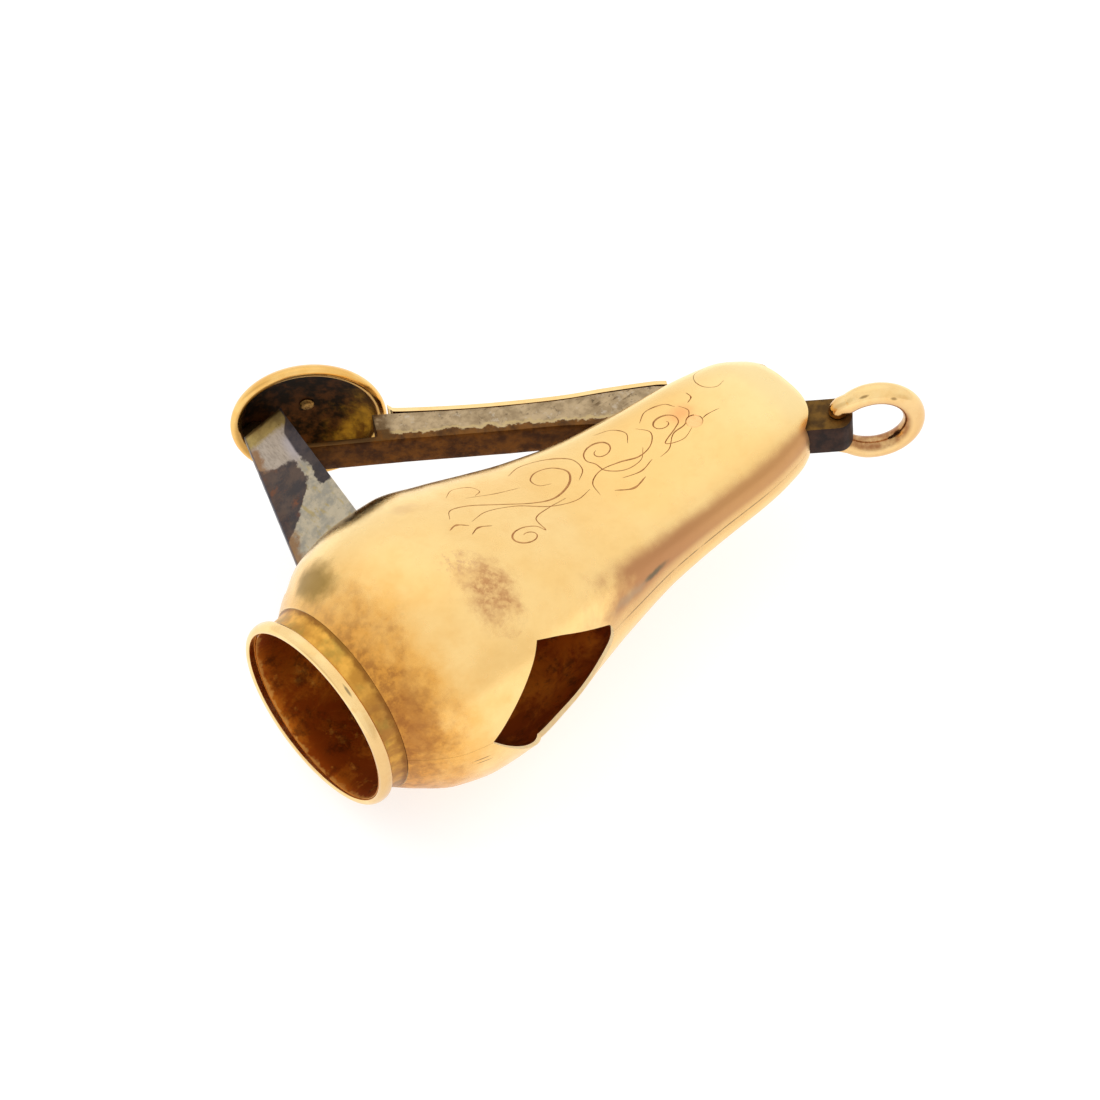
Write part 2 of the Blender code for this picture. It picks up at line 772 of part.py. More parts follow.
def make_root_cut(lever):
    """Everything on the thumb-piece's side of a surface just inside its hollow."""
    radius = THUMB_INNER_R - ROOT_GAP_SIDE
    arc = dome_arc(radius, THUMB_DEPTH - ROOT_GAP_CROWN)
    profile = [(0.0, 8.0), (9.0, 8.0), (9.0, -0.35), (radius, -0.35)] + arc[::-1]
    root_cut = cutter("root_cut", profile_mesh(profile, closed=False))
    turn_profile(root_cut, THUMB_STEPS)
    lay_on_thumb_axis(root_cut, lever)
    return root_cut


def make_wing_cut(lever):
    """Ends the front wing and the ridge at a straight edge; the back wing is left longer."""
    low, high = (Vector(point) for point in ROOT_LINE)
    along = (high - low).normalized()
    low -= along * ROOT_LINE_EXTRA
    high += along * ROOT_LINE_EXTRA
    lift = left_of(along) * WING_CUT_HEIGHT
    mesh = outline_mesh(about_pivot([low, high, high + lift, low + lift]), WING_CUT_HALF)
    wing_cut = cutter("wing_cut", mesh, lever)
    wing_cut.location = (0.0, 0.0, WING_CUT_Z * MM)
    return wing_cut


def make_blade(lever):
    blade = place(
        "cutting_blade", blade_mesh(), colour=STEEL_BLADE, roughness=0.4, parent=lever
    )
    boolean(blade, make_root_cut(lever))
    boolean(blade, make_wing_cut(lever))
    smooth(blade, 30)


# Bow: hangs from the tab's hole, in the XZ plane of its own axis object ---------------------------

BOW_MEAN, BOW_WIRE, BOW_REACH = 2.6, 0.65, 2.35
BOW_PIN_R = 0.5
BOW_GAP_HALF = 1.72
BOW_STEPS = 22
BOW_RING_END_R = 0.62
BOW_ANGLE = -32.6
# X, Z, wire radius of one inturned end
BOW_END = ((0.0, 0.35, BOW_PIN_R), (0.0, 1.1, BOW_PIN_R), (0.06, 1.38, 0.56))


def bow_mesh():
    """A ring with a gap at the tab: its two ends turn inwards and enter the tab's hole."""
    curve = bpy.data.curves.new("bow", "CURVE")
    curve.dimensions = "3D"
    curve.bevel_depth = BOW_WIRE * MM
    curve.bevel_resolution = 3
    curve.use_fill_caps = True
    half_sweep = math.pi - math.asin(BOW_GAP_HALF / BOW_MEAN)
    points = list(BOW_END)
    for k in range(BOW_STEPS + 1):
        angle = half_sweep - half_sweep * 2 * k / BOW_STEPS
        x = BOW_REACH + BOW_MEAN * math.cos(angle)
        wire = BOW_RING_END_R if k in (0, BOW_STEPS) else BOW_WIRE
        points.append((x, BOW_MEAN * math.sin(angle), wire))
    points += [(x, -z, wire) for x, z, wire in reversed(BOW_END)]
    spline = curve.splines.new("POLY")
    spline.points.add(len(points) - 1)
    for target, (x, z, wire) in zip(spline.points, points):
        target.co = (x * MM, 0.0, z * MM, 1.0)
        target.radius = wire / BOW_WIRE
    return mesh_from_curve(curve)


def make_bow():
    # the tab's hole, where the open lever carries it
    turn = Matrix.Rotation(math.radians(-OPEN_ANGLE), 2)
    hole = Vector(PIVOT) + turn @ Vector(about_pivot([TAB_HOLE])[0])
    axis = add_axis("bow_axis", hole)
    axis.rotation_euler = (0.0, 0.0, math.radians(BOW_ANGLE))
    bow = place("bow", bow_mesh(), colour=GOLD_RIM, roughness=0.2, parent=axis)
    smooth(bow, 50)


# Assembly ---------------------------------------------------------------------------------------


def make_lever():
    """The lever's axis at the pivot, turned open, with everything that swings on it."""
    lever = add_axis("lever_axis", PIVOT)
    lever.rotation_euler = (0.0, 0.0, math.radians(-OPEN_ANGLE))
    make_bar(lever)
    make_cover(lever)
    make_thumb_piece(lever)
    make_thumb_rivet(lever)
    make_blade(lever)


def shift_to_frame():
    for obj in list(parts.objects) + list(cutters.objects):
        if obj.parent is None:
            obj.location += Vector(FRAME_SHIFT) * MM


pin_bore = cutter("pin_cut", rod_mesh(PIVOT, PIN_R + PIN_CLEARANCE, -4.0, 4.0, PIN_SEGMENTS))
make_shells(pin_bore)
make_tube()
make_collar()
make_rim()
make_pin()
make_washers(pin_bore)
make_spring()
make_spring_rivet()
make_lever()
make_bow()
shift_to_frame()
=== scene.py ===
"""Looks of the pocket cigar cutter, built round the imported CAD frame.

Lengths in this file are millimetres in the drawing frame of the cutter (origin at the centre of the mouth, +X to the
tail, +Y the lever's side, +Z the front face) until put() turns them into metres in the row frame.
"""

import json
import math

import bmesh
import bpy
import numpy as np
from mathutils import Matrix, Vector


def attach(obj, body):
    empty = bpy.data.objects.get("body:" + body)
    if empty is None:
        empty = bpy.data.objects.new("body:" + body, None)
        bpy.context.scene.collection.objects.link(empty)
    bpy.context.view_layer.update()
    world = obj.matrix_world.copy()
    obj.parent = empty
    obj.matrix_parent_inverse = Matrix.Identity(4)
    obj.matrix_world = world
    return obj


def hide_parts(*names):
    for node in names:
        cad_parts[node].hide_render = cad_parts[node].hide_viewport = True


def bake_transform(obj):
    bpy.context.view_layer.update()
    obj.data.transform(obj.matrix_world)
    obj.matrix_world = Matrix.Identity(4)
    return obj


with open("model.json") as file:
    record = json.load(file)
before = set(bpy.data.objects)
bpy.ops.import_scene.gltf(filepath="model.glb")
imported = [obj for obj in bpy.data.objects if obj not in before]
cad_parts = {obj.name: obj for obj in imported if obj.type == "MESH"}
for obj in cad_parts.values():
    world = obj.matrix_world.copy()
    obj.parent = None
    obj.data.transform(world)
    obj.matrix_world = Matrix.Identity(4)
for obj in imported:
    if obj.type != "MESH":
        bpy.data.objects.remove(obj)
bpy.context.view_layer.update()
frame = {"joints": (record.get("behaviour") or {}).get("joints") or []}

MM = 0.001
JOINTS = {joint["name"]: joint for joint in frame["joints"]}
PIVOT = (31.6, 0.6)
SHIFT = Vector(JOINTS["lever_pivot"]["pos_m"]) / MM - Vector((PIVOT[0], PIVOT[1], 0.0))
OPEN_ANGLE = 26.0
TAB = Vector(JOINTS["bow_swing"]["pos_m"]) / MM - SHIFT
BOW_TURN = math.radians(-32.6)

scene = bpy.context.scene


# ------------------------------------------------------------------------------------------------
# Mesh helpers
# ------------------------------------------------------------------------------------------------


def put(name, mesh, body, material=None, replaces=(), lever=False):
    """An object from a mesh in drawing millimetres. Lever pieces are drawn closed and turned open here."""
    matrix = Matrix.Translation(SHIFT * MM) @ Matrix.Scale(MM, 4)
    if lever:
        spot = Vector((PIVOT[0], PIVOT[1], 0.0))
        turn = (
            Matrix.Translation(spot)
            @ Matrix.Rotation(math.radians(-OPEN_ANGLE), 4, "Z")
            @ Matrix.Translation(-spot)
        )
        matrix = matrix @ turn
    mesh.transform(matrix)
    mesh.name = name
    obj = bpy.data.objects.new(name, mesh)
    scene.collection.objects.link(obj)
    if material:
        mesh.materials.clear()
        mesh.materials.append(material)
    if body:
        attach(obj, body)
    if replaces:
        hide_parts(*replaces)
    return obj


def mesh_from(verts, faces, name="work"):
    mesh = bpy.data.meshes.new(name)
    mesh.from_pydata([tuple(v) for v in verts], [], [tuple(f) for f in faces])
    work = bmesh.new()
    work.from_mesh(mesh)
    bmesh.ops.remove_doubles(work, verts=work.verts, dist=1e-5)
    bmesh.ops.recalc_face_normals(work, faces=work.faces)
    work.to_mesh(mesh)
    work.free()
    return mesh


def smooth_mesh(mesh, degrees=35):
    mesh.shade_smooth()
    mesh.set_sharp_from_angle(angle=math.radians(degrees))
    return mesh


def temp(mesh, name="temp"):
    obj = bpy.data.objects.new(name, mesh)
    scene.collection.objects.link(obj)
    return obj


def apply_all(obj):
    """The evaluated mesh of an object; the object itself is removed."""
    bpy.context.view_layer.update()
    graph = bpy.context.evaluated_depsgraph_get()
    mesh = bpy.data.meshes.new_from_object(obj.evaluated_get(graph))
    bpy.data.objects.remove(obj, do_unlink=True)
    return mesh


def turned(profile, steps, closed=True):
    """A turned mesh about Z from (radius, height) points."""
    rows = []
    verts, faces = [], []
    for radius, height in profile:
        if radius < 1e-6:
            rows.append([len(verts)] * steps)
            verts.append((0.0, 0.0, height))
            continue
        row = []
        for k in range(steps):
            angle = 2 * math.pi * k / steps
            row.append(len(verts))
            verts.append((radius * math.cos(angle), radius * math.sin(angle), height))
        rows.append(row)
    pairs = list(zip(rows, rows[1:]))
    if closed:
        pairs.append((rows[-1], rows[0]))
    for near, far in pairs:
        for k in range(steps):
            j = (k + 1) % steps
            corner = []
            for index in (near[k], near[j], far[j], far[k]):
                if index not in corner:
                    corner.append(index)
            if len(corner) > 2:
                faces.append(corner)
    return mesh_from(verts, faces)


def prism(outline, low, high, name="prism"):
    """A flat outline in XY with a thickness along Z, as one n-gon each side."""
    count = len(outline)
    verts = [(x, y, low) for x, y in outline] + [(x, y, high) for x, y in outline]
    faces = [list(range(count))[::-1], list(range(count, 2 * count))]
    for k in range(count):
        j = (k + 1) % count
        faces.append((k, j, count + j, count + k))
    return mesh_from(verts, faces, name)


def box_mesh(low, high):
    return prism([(low[0], low[1]), (high[0], low[1]), (high[0], high[1]), (low[0], high[1])], low[2], high[2])


def cut(mesh, tools, operation="DIFFERENCE", solver="EXACT"):
    """The mesh with each tool mesh cut from it."""
    obj = temp(mesh, "cut_body")
    helpers = []
    for index, tool in enumerate(tools):
        helper = temp(tool, f"cut_tool_{index}")
        helpers.append(helper)
        modifier = obj.modifiers.new("cut", "BOOLEAN")
        modifier.operation = operation
        modifier.object = helper
        modifier.solver = solver
    result = apply_all(obj)
    for helper in helpers:
        bpy.data.objects.remove(helper, do_unlink=True)
    return result


def bevelled(mesh, width, segments=2, degrees=30):
    obj = temp(mesh, "bevel_body")
    modifier = obj.modifiers.new("bevel", "BEVEL")
    modifier.width = width
    modifier.segments = segments
    modifier.limit_method = "ANGLE"
    modifier.angle_limit = math.radians(degrees)
    modifier.harden_normals = False
    return apply_all(obj)


# ------------------------------------------------------------------------------------------------
# The case's surface
# ------------------------------------------------------------------------------------------------

STATIONS = (
    (2.46, 6.50, 6.48, 2.00),
    (3.53, 7.42, 7.05, 2.02),
    (5.60, 8.60, 8.00, 2.08),
    (8.15, 9.05, 8.42, 2.20),
    (11.2, 9.10, 7.95, 2.35),
    (14.3, 8.32, 6.81, 2.55),
    (17.4, 7.43, 5.46, 2.80),
    (20.5, 6.75, 4.15, 3.00),
    (24.6, 5.95, 3.22, 3.20),
    (28.7, 5.55, 2.86, 3.20),
    (32.8, 5.25, 2.70, 3.20),
    (35.9, 4.65, 2.60, 3.20),
    (37.9, 3.68, 2.08, 3.00),
    (39.1, 2.60, 1.30, 2.60),
    (39.66, 1.20, 0.45, 2.20),
)
WALL = 0.26
SEAM_HALF = 0.007


def station_value(x, column):
    """The station table's column at x (a numpy array), by a cubic whose slopes are harmonic means."""
    table = np.array(STATIONS)
    xs, vs = table[:, 0], table[:, column]
    steps = np.diff(vs) / np.diff(xs)
    slopes = np.zeros(len(xs))
    slopes[0], slopes[-1] = steps[0], steps[-1]
    for i in range(1, len(xs) - 1):
        left, right = steps[i - 1], steps[i]
        slopes[i] = 0.0 if left * right <= 0 else 2 * left * right / (left + right)
    x = np.clip(np.asarray(x, float), xs[0], xs[-1])
    i = np.clip(np.searchsorted(xs, x, side="right") - 1, 0, len(xs) - 2)
    span = xs[i + 1] - xs[i]
    t = (x - xs[i]) / span
    return (
        (2 * t**3 - 3 * t**2 + 1) * vs[i]
        + (t**3 - 2 * t**2 + t) * span * slopes[i]
        + (-2 * t**3 + 3 * t**2) * vs[i + 1]
        + (t**3 - t**2) * span * slopes[i + 1]
    )


def case_level(points):
    """0 on the outer skin, below 0 inside it."""
    x, y, z = points[:, 0], points[:, 1], points[:, 2]
    power = station_value(x, 3)
    return (
        np.abs(y / station_value(x, 1)) ** power
        + np.abs(z / station_value(x, 2)) ** power
        - 1.0
    )


def case_normal(points):
    step = 0.02
    gradient = np.zeros_like(points)
    for axis in range(3):
        shift = np.zeros(3)
        shift[axis] = step
        gradient[:, axis] = (case_level(points + shift) - case_level(points - shift)) / (2 * step)
    length = np.linalg.norm(gradient, axis=1)
    return gradient / np.maximum(length, 1e-9)[:, None]


def front_height(x, y):
    """Height of the front face over a point of the drawing plane."""
    width, depth, power = (float(station_value(x, c)) for c in (1, 2, 3))
    return depth * max(1.0 - abs(y / width) ** power, 0.0) ** (1 / power)


def skin_point(x, degrees):
    """A point of the outer skin, and the directions along the case and round it. 0 is the lever's side, 90 the front."""

    def at(x, degrees):
        width, depth, power = (float(station_value(x, c)) for c in (1, 2, 3))
        c, s = math.cos(math.radians(degrees)), math.sin(math.radians(degrees))
        return Vector((
            x,
            width * math.copysign(abs(c) ** (2 / power), c),
            depth * math.copysign(abs(s) ** (2 / power), s),
        ))

    along = (at(x + 0.1, degrees) - at(x - 0.1, degrees)).normalized()
    around = (at(x, degrees + 0.7) - at(x, degrees - 0.7)).normalized()
    return at(x, degrees), along, around


# ------------------------------------------------------------------------------------------------
# Material helpers
# ------------------------------------------------------------------------------------------------


class Tree:
    """A short way to write a node material. Positions are drawing millimetres."""

    def __init__(self, name):
        self.material = bpy.data.materials.new(name)
        self.material.use_nodes = True
        self.nodes = self.material.node_tree.nodes
        self.links = self.material.node_tree.links
        self.shader = self.nodes["Principled BSDF"]
        where = self.nodes.new("ShaderNodeTexCoord")
        scale = self.nodes.new("ShaderNodeVectorMath")
        scale.operation = "MULTIPLY_ADD"
        self.links.new(where.outputs["Object"], scale.inputs[0])
        scale.inputs[1].default_value = (1 / MM,) * 3
        scale.inputs[2].default_value = tuple(-SHIFT)
        self.at = scale.outputs[0]
        self.facing = where.outputs["Normal"]

    def feed(self, socket, value):
        if isinstance(value, bpy.types.NodeSocket):
            self.links.new(value, socket)
        elif isinstance(value, (tuple, list)) and len(value) == 3 and len(socket.default_value) == 4:
            socket.default_value = (*value, 1.0)
        else:
            socket.default_value = value

    def math(self, operation, a, b=None, c=None, clamp=False):
        node = self.nodes.new("ShaderNodeMath")
        node.operation = operation
        node.use_clamp = clamp
        for socket, value in zip(node.inputs, (a, b, c)):
            if value is not None:
                self.feed(socket, value)
        return node.outputs[0]

    def vector(self, operation, a, b=None):
        node = self.nodes.new("ShaderNodeVectorMath")
        node.operation = operation
        self.feed(node.inputs[0], a)
        if b is not None:
            self.feed(node.inputs[1], b)
        return node.outputs["Value"] if operation in ("DOT_PRODUCT", "LENGTH", "DISTANCE") else node.outputs[0]

    def noise(self, scale=1.0, detail=4.0, rough=0.55, stretch=None, turn=None, seed=0.0, distortion=0.0):
        at = self.at
        if stretch or turn:
            mapping = self.nodes.new("ShaderNodeMapping")
            self.links.new(at, mapping.inputs["Vector"])
            mapping.inputs["Rotation"].default_value = tuple(math.radians(v) for v in (turn or (0, 0, 0)))
            mapping.inputs["Scale"].default_value = stretch or (1, 1, 1)
            at = mapping.outputs[0]
        node = self.nodes.new("ShaderNodeTexNoise")
        node.noise_dimensions = "4D"
        self.links.new(at, node.inputs["Vector"])
        node.inputs["W"].default_value = seed
        node.inputs["Scale"].default_value = scale
        node.inputs["Detail"].default_value = detail
        node.inputs["Roughness"].default_value = rough
        node.inputs["Distortion"].default_value = distortion
        return node.outputs["Fac"]

    def spots(self, scale, seed=0.0, low=0.05, high=0.25):
        """Round specks: 1 in their middle, 0 outside."""
        node = self.nodes.new("ShaderNodeTexVoronoi")
        node.voronoi_dimensions = "4D"
        self.links.new(self.at, node.inputs["Vector"])
        node.inputs["W"].default_value = seed
        node.inputs["Scale"].default_value = scale
        return self.fit(node.outputs["Distance"], high, low)

    def fit(self, value, low, high, to_low=0.0, to_high=1.0, shape="SMOOTHSTEP"):
        node = self.nodes.new("ShaderNodeMapRange")
        node.interpolation_type = shape
        node.clamp = True if shape == "LINEAR" else node.clamp
        self.feed(node.inputs["Value"], value)
        swap = low > high
        if swap:
            low, high, to_low, to_high = high, low, to_high, to_low
        node.inputs["From Min"].default_value = low
        node.inputs["From Max"].default_value = high
        node.inputs["To Min"].default_value = to_low
        node.inputs["To Max"].default_value = to_high
        return node.outputs[0]

    def mix(self, fac, a, b, blend="MIX"):
        node = self.nodes.new("ShaderNodeMix")
        node.data_type = "RGBA"
        node.blend_type = blend
        node.clamp_factor = True
        self.feed(node.inputs[0], fac)
        self.feed(node.inputs[6], a)
        self.feed(node.inputs[7], b)
        return node.outputs[2]

    def blend(self, fac, a, b):
        node = self.nodes.new("ShaderNodeMix")
        node.data_type = "FLOAT"
        node.clamp_factor = True
        self.feed(node.inputs[0], fac)
        self.feed(node.inputs[2], a)
        self.feed(node.inputs[3], b)
        return node.outputs[0]

    def split(self):
        node = self.nodes.new("ShaderNodeSeparateXYZ")
        self.links.new(self.at, node.inputs[0])
        return node.outputs

    def blob(self, centre, radii, along=None, across=None, ragged=0.35, scale=0.9, inner=0.35, outer=1.15, seed=0.0):
        """A soft patch round a point: 1 in the middle, 0 outside, with a ragged edge."""
        centre = Vector(centre)
        along = Vector(along or (1, 0, 0)).normalized()
        across = Vector(across or (0, 1, 0))
        across = (across - along * across.dot(along)).normalized()
        third = along.cross(across)
        away = self.vector("SUBTRACT", self.at, tuple(centre))
        total = None
        for axis, radius in ((along, radii[0]), (across, radii[1]), (third, radii[2])):
            part = self.vector("DOT_PRODUCT", away, tuple(axis / radius))
            part = self.math("MULTIPLY", part, part)
            total = part if total is None else self.math("ADD", total, part)
        distance = self.math("SQRT", total)
        if ragged:
            ragged_noise = self.noise(scale, 5.0, 0.6, seed=seed)
            distance = self.math("ADD", distance, self.fit(ragged_noise, 0.3, 0.7, -ragged, ragged, "LINEAR"))
        return self.fit(distance, outer, inner)

    def skin_blob(self, x, degrees, along, around, ragged=0.3, scale=0.9, inner=0.35, outer=1.15, seed=0.0):
        """A patch on the case's skin, reaching so many mm along it and round it."""
        centre, one, other = skin_point(x, degrees)
        return self.blob(centre, (along, around, 2.2), one, other, ragged, scale, inner, outer, seed)

    def faces(self, direction, low, high):
        """1 where the surface faces a direction, 0 where it turns away."""
        return self.fit(self.vector("DOT_PRODUCT", self.facing, tuple(Vector(direction).normalized())), low, high)

    def lever_place(self):
        """Where a point of the open lever lies once the lever is closed: X and Y in the drawing frame."""
        spot = Vector((PIVOT[0], PIVOT[1], 0.0))
        away = self.vector("SUBTRACT", self.at, tuple(spot))
        turn = math.radians(-OPEN_ANGLE)
        x = self.vector("DOT_PRODUCT", away, (math.cos(turn), math.sin(turn), 0.0))
        y = self.vector("DOT_PRODUCT", away, (-math.sin(turn), math.cos(turn), 0.0))
        return self.math("ADD", x, spot.x), self.math("ADD", y, spot.y)

    def bump(self, height, strength=0.2, distance=0.01, normal=None):
        node = self.nodes.new("ShaderNodeBump")
        node.inputs["Strength"].default_value = strength
        node.inputs["Distance"].default_value = distance * MM
        self.feed(node.inputs["Height"], height)
        if normal is not None:
            self.links.new(normal, node.inputs["Normal"])
        return node.outputs[0]

    def done(self, colour, roughness, metallic=1.0, normal=None):
        self.feed(self.shader.inputs["Base Color"], colour)
        self.feed(self.shader.inputs["Roughness"], roughness)
        self.feed(self.shader.inputs["Metallic"], metallic)
        if normal is not None:
            self.links.new(normal, self.shader.inputs["Normal"])
        return self.material


def hand_scratches(tree, seed=0.0, strength=0.05):
    """Fine criss-cross polishing marks as a height field."""
    total = None
    for index, (stretch, turn) in enumerate(
        (((1.6, 26, 26), (0, 0, 24)), ((2.0, 34, 34), (0, 0, -38)), ((1.2, 20, 20), (0, 0, 78)))
    ):
        lines = tree.fit(tree.noise(1.0, 3.0, 0.6, stretch, turn, seed + index * 3.1), 0.52, 0.72)
        total = lines if total is None else tree.math("ADD", total, lines)
    return total


def gold_case_material(name="gold_case"):
    """Polished gold of the case, with its stains, tarnish by the collar, painted highlights along the top and tail, a
    thin painted shadow on the shoulder and a painted shade band along the neck.
    """
    t = Tree(name)
    x, y, z = t.split()
    cloud = t.fit(t.noise(0.16, 4.0, 0.55, seed=1.0), 0.35, 0.65)
    colour = t.mix(cloud, (0.985, 0.685, 0.285), (0.965, 0.635, 0.240))
    fine = t.fit(t.noise(1.1, 6.0, 0.65, seed=4.0), 0.42, 0.68)
    colour = t.mix(t.math("MULTIPLY", fine, 0.20), colour, (0.86, 0.50, 0.16))
    # painted highlight: paler along the top, next to the lever, and on the top of the tail
    pale = t.math("MULTIPLY", t.faces((0.0, 0.80, 0.60), 0.74, 0.99), 0.50)
    colour = t.mix(pale, colour, (1.0, 0.82, 0.42))
    tail = t.math("MULTIPLY", t.fit(x, 31.0, 38.0), t.faces((0.5, 0.3, 0.8), 0.60, 0.95))
    colour = t.mix(t.math("MULTIPLY", tail, 0.55), colour, (1.0, 0.84, 0.45))
    # warmer bulb towards the mouth
    drift = t.fit(t.noise(0.30, 5.0, 0.62, seed=7.0), 0.3, 0.7, -2.6, 2.6, "LINEAR")
    warm = t.fit(t.math("ADD", x, drift), 9.5, 3.4)
    low_side = t.fit(y, 5.0, -3.0)
    warm = t.math("MULTIPLY", warm, t.blend(low_side, 0.25, 1.0))
    colour = t.mix(t.math("MULTIPLY", warm, 0.80), colour, (0.86, 0.43, 0.085))
    # tarnish close to the collar, strongest on the lower front
    ragged = t.fit(t.noise(0.55, 6.0, 0.66, seed=9.0), 0.3, 0.7, -1.5, 1.5, "LINEAR")
    near = t.math("MULTIPLY", t.fit(t.math("ADD", x, ragged), 6.2, 2.2), t.blend(low_side, 0.28, 1.0))
    brown = t.mix(t.fit(t.noise(1.6, 6.0, 0.7, seed=10.0), 0.40, 0.62), (0.68, 0.300, 0.050), (0.36, 0.130, 0.026))
    colour = t.mix(t.math("MULTIPLY", near, 0.80), colour, brown)
    lower = t.skin_blob(3.2, 160.0, 1.8, 4.2, 0.5, 0.8, 0.15, 1.15, 3.0)
    colour = t.mix(t.math("MULTIPLY", lower, 0.62), colour, (0.33, 0.115, 0.030))
    # olive patch on the shoulder, and further along a thin brown painted shadow where the top turns away
    olive = t.skin_blob(4.1, 60.0, 1.7, 2.4, 0.26, 0.7, 0.30, 1.15, 2.0)
    colour = t.mix(t.math("MULTIPLY", olive, 0.80), colour, (0.245, 0.150, 0.030))
    painted_shadow_sliver = t.skin_blob(9.6, 43.0, 3.2, 0.9, 0.30, 0.7, 0.20, 1.15, 2.5)
    colour = t.mix(t.math("MULTIPLY", painted_shadow_sliver, 0.70), colour, (0.36, 0.190, 0.040))
    # pinkish brown stain with grains on the bulb
    stain = t.skin_blob(11.4, 114.0, 2.3, 2.9, 0.40, 0.75, 0.20, 1.15, 5.0)
    grain = t.fit(t.noise(2.4, 6.0, 0.72, seed=12.0), 0.36, 0.62)
    colour = t.mix(t.math("MULTIPLY", stain, t.blend(grain, 0.34, 0.90)), colour, (0.52, 0.240, 0.095))
    upper = t.skin_blob(10.9, 100.0, 1.6, 1.3, 0.45, 1.0, 0.20, 1.10, 6.0)
    pale_grains = t.fit(t.noise(2.9, 5.0, 0.7, seed=13.0), 0.48, 0.62)
    colour = t.mix(t.math("MULTIPLY", t.math("MULTIPLY", upper, pale_grains), 0.65), colour, (0.66, 0.38, 0.19))
    smudge = t.skin_blob(11.4, 68.0, 1.1, 0.8, 0.40, 1.1, 0.20, 1.10, 6.5)
    colour = t.mix(t.math("MULTIPLY", smudge, 0.30), colour, (0.72, 0.42, 0.20))
    # reddish halo over the pin's head
    red = t.skin_blob(31.3, 81.0, 1.25, 0.95, 0.20, 1.0, 0.05, 1.20, 8.0)
    colour = t.mix(t.math("MULTIPLY", red, 0.62), colour, (0.90, 0.39, 0.15))
    # painted shade: a dull brown band low along the neck, standing in for the darker surroundings it reflects
    neck = t.math("MULTIPLY", t.fit(t.math("ADD", x, drift), 15.5, 21.0), t.fit(x, 38.8, 37.0))
    uneven = t.fit(t.noise(0.45, 5.0, 0.6, seed=15.0), 0.3, 0.7, -0.06, 0.06, "LINEAR")
    side_on = t.math("ADD", t.vector("DOT_PRODUCT", t.facing, (0.0, -1.0, 0.0)), uneven)
    up_on = t.vector("DOT_PRODUCT", t.facing, (0.0, 0.0, 1.0))
    band = t.math("MULTIPLY", t.fit(side_on, 0.38, 0.76), t.fit(up_on, -0.12, 0.16))
    band = t.math("MULTIPLY", band, neck)
    painted_shade_gold = t.mix(t.fit(x, 23.0, 31.0), (0.455, 0.205, 0.090), (0.535, 0.268, 0.108))
    colour = t.mix(t.math("MULTIPLY", band, 0.92), colour, painted_shade_gold)
    # grey smear beside the port, its dark right end, and a light one before it
    grey = t.skin_blob(22.3, 168.0, 1.45, 0.30, 0.28, 1.2, 0.20, 1.10, 10.0)
    colour = t.mix(t.math("MULTIPLY", grey, 0.85), colour, (0.135, 0.120, 0.075))
    light_grey = t.skin_blob(20.0, 168.5, 1.9, 0.55, 0.35, 1.0, 0.10, 1.15, 11.0)
    colour = t.mix(t.math("MULTIPLY", light_grey, 0.45), colour, (0.42, 0.34, 0.22))
    # dirt in the joint between the shells, and a pair of scratches below the near corner of the port
    joint = t.math("MULTIPLY", t.fit(t.math("ABSOLUTE", z), 0.085, 0.02), t.fit(y, 0.0, -1.0))
    joint = t.math("MULTIPLY", joint, t.math("MULTIPLY", t.fit(x, 18.6, 20.5), t.fit(x, 34.5, 31.0)))
    joint = t.math("MULTIPLY", joint, t.fit(t.noise(0.9, 4.0, 0.6, seed=16.0), 0.30, 0.50))
    colour = t.mix(t.math("MULTIPLY", joint, 0.75), colour, (0.22, 0.130, 0.050))
    for index, (sx, sd, along, around) in enumerate(((6.3, 187.0, 0.75, 0.07), (6.5, 189.5, 0.85, 0.06))):
        scratch = t.skin_blob(sx, sd, along, around, 0.25, 1.5, 0.30, 1.10, 40.0 + index)
        colour = t.mix(t.math("MULTIPLY", scratch, 0.75), colour, (0.20, 0.085, 0.030))
    # specks of dirt
    specks = t.spots(0.9, 2.0, 0.03, 0.075)
    colour = t.mix(t.math("MULTIPLY", specks, 0.55), colour, (0.25, 0.11, 0.04))
    dull = t.math("MAXIMUM", t.math("MULTIPLY", near, 0.8), t.math("MULTIPLY", stain, 0.9))
    dull = t.math("MAXIMUM", dull, t.math("MAXIMUM", t.math("MULTIPLY", olive, 0.6), t.math("MULTIPLY", band, 0.5)))
    rough = t.blend(dull, 0.225, 0.46)
    rough = t.math("ADD", rough, t.fit(t.noise(1.7, 5.0, 0.6, seed=18.0), 0.35, 0.7, -0.05, 0.07, "LINEAR"))
    marks = hand_scratches(t, 20.0)
    normal = t.bump(marks, 0.12, 0.006)
    normal = t.bump(t.noise(0.35, 3.0, 0.5, seed=21.0), 0.30, 0.05, normal)
    normal = t.bump(t.math("MULTIPLY", grain, stain), 0.35, 0.015, normal)
    return t.done(colour, rough, 1.0, normal)


